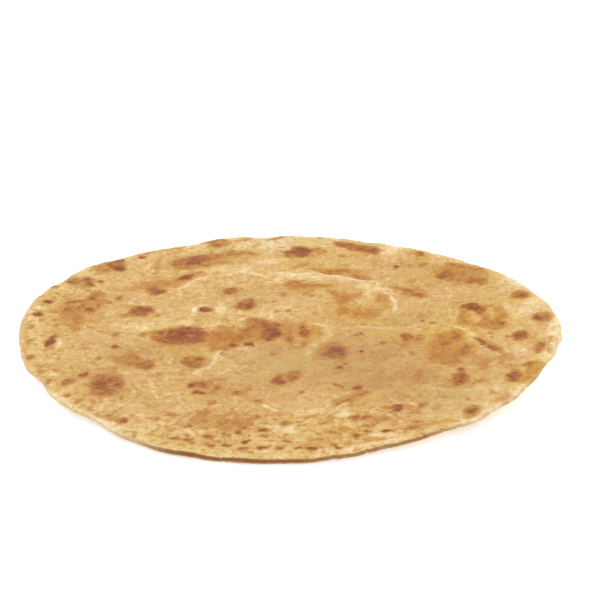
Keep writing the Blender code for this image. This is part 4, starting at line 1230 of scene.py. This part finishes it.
world = bpy.data.worlds.new("studio")
bpy.context.scene.world = world
world.use_nodes = True
nodes, links = world.node_tree.nodes, world.node_tree.links
nodes.clear()
background = nodes.new("ShaderNodeBackground")
background.inputs["Color"].default_value = (1.0, 1.0, 1.0, 1.0)
direction = nodes.new("ShaderNodeTexCoord")
parts = nodes.new("ShaderNodeSeparateXYZ")
height = nodes.new("ShaderNodeMapRange")
height.interpolation_type = "SMOOTHSTEP"
height.inputs["From Min"].default_value = 0.10
height.inputs["From Max"].default_value = 0.34
height.inputs["To Min"].default_value = 1.02
height.inputs["To Max"].default_value = 0.60
links.new(direction.outputs["Generated"], parts.inputs[0])
links.new(parts.outputs["Z"], height.inputs["Value"])
links.new(height.outputs[0], background.inputs["Strength"])
world_out = nodes.new("ShaderNodeOutputWorld")
links.new(background.outputs[0], world_out.inputs["Surface"])


def area_light(name, place, aim, size, power, colour=(1.0, 1.0, 1.0)):
    lamp = bpy.data.lights.new(name, "AREA")
    lamp.shape = "DISK"
    lamp.size = size
    lamp.energy = power
    lamp.color = colour
    thing = bpy.data.objects.new(name, lamp)
    thing.location = place
    thing.rotation_euler = (Vector(aim) - Vector(place)).to_track_quat("-Z", "Y").to_euler()
    bpy.context.scene.collection.objects.link(thing)
    return thing


area_light("left", (-1.00, 0.55, 1.25), (0, 0, 0), 1.1, 14.0)
area_light("right", (1.05, 0.45, 1.20), (0, 0, 0), 1.1, 11.5)
area_light("top", (-0.10, 0.50, 2.0), (0, 0, 0), 1.4, 9.5)
area_light("front", (0.35, -1.30, 1.15), (0, 0, 0), 1.1, 5.0)

camera = bpy.data.cameras.new("camera")
camera.sensor_fit = "HORIZONTAL"
camera.sensor_width = 36.0
camera.lens = 18.0 / math.tan(math.radians(11.0))
camera.clip_start = 0.01
camera.clip_end = 60.0
eye = bpy.data.objects.new("camera", camera)
bpy.context.scene.collection.objects.link(eye)
eye.location = (0.00127688, -0.52881752, 0.23979954)
PITCH, YAW = math.radians(23.0703), math.radians(-0.33411)
forward = Vector((-math.sin(YAW) * math.cos(PITCH), math.cos(YAW) * math.cos(PITCH), -math.sin(PITCH)))
eye.rotation_euler = forward.to_track_quat("-Z", "Y").to_euler()
bpy.context.scene.camera = eye

bpy.context.scene.view_settings.view_transform = "Standard"
bpy.context.scene.view_settings.look = "None"
bpy.context.scene.view_settings.exposure = 0.0
bpy.context.scene.view_settings.gamma = 1.0
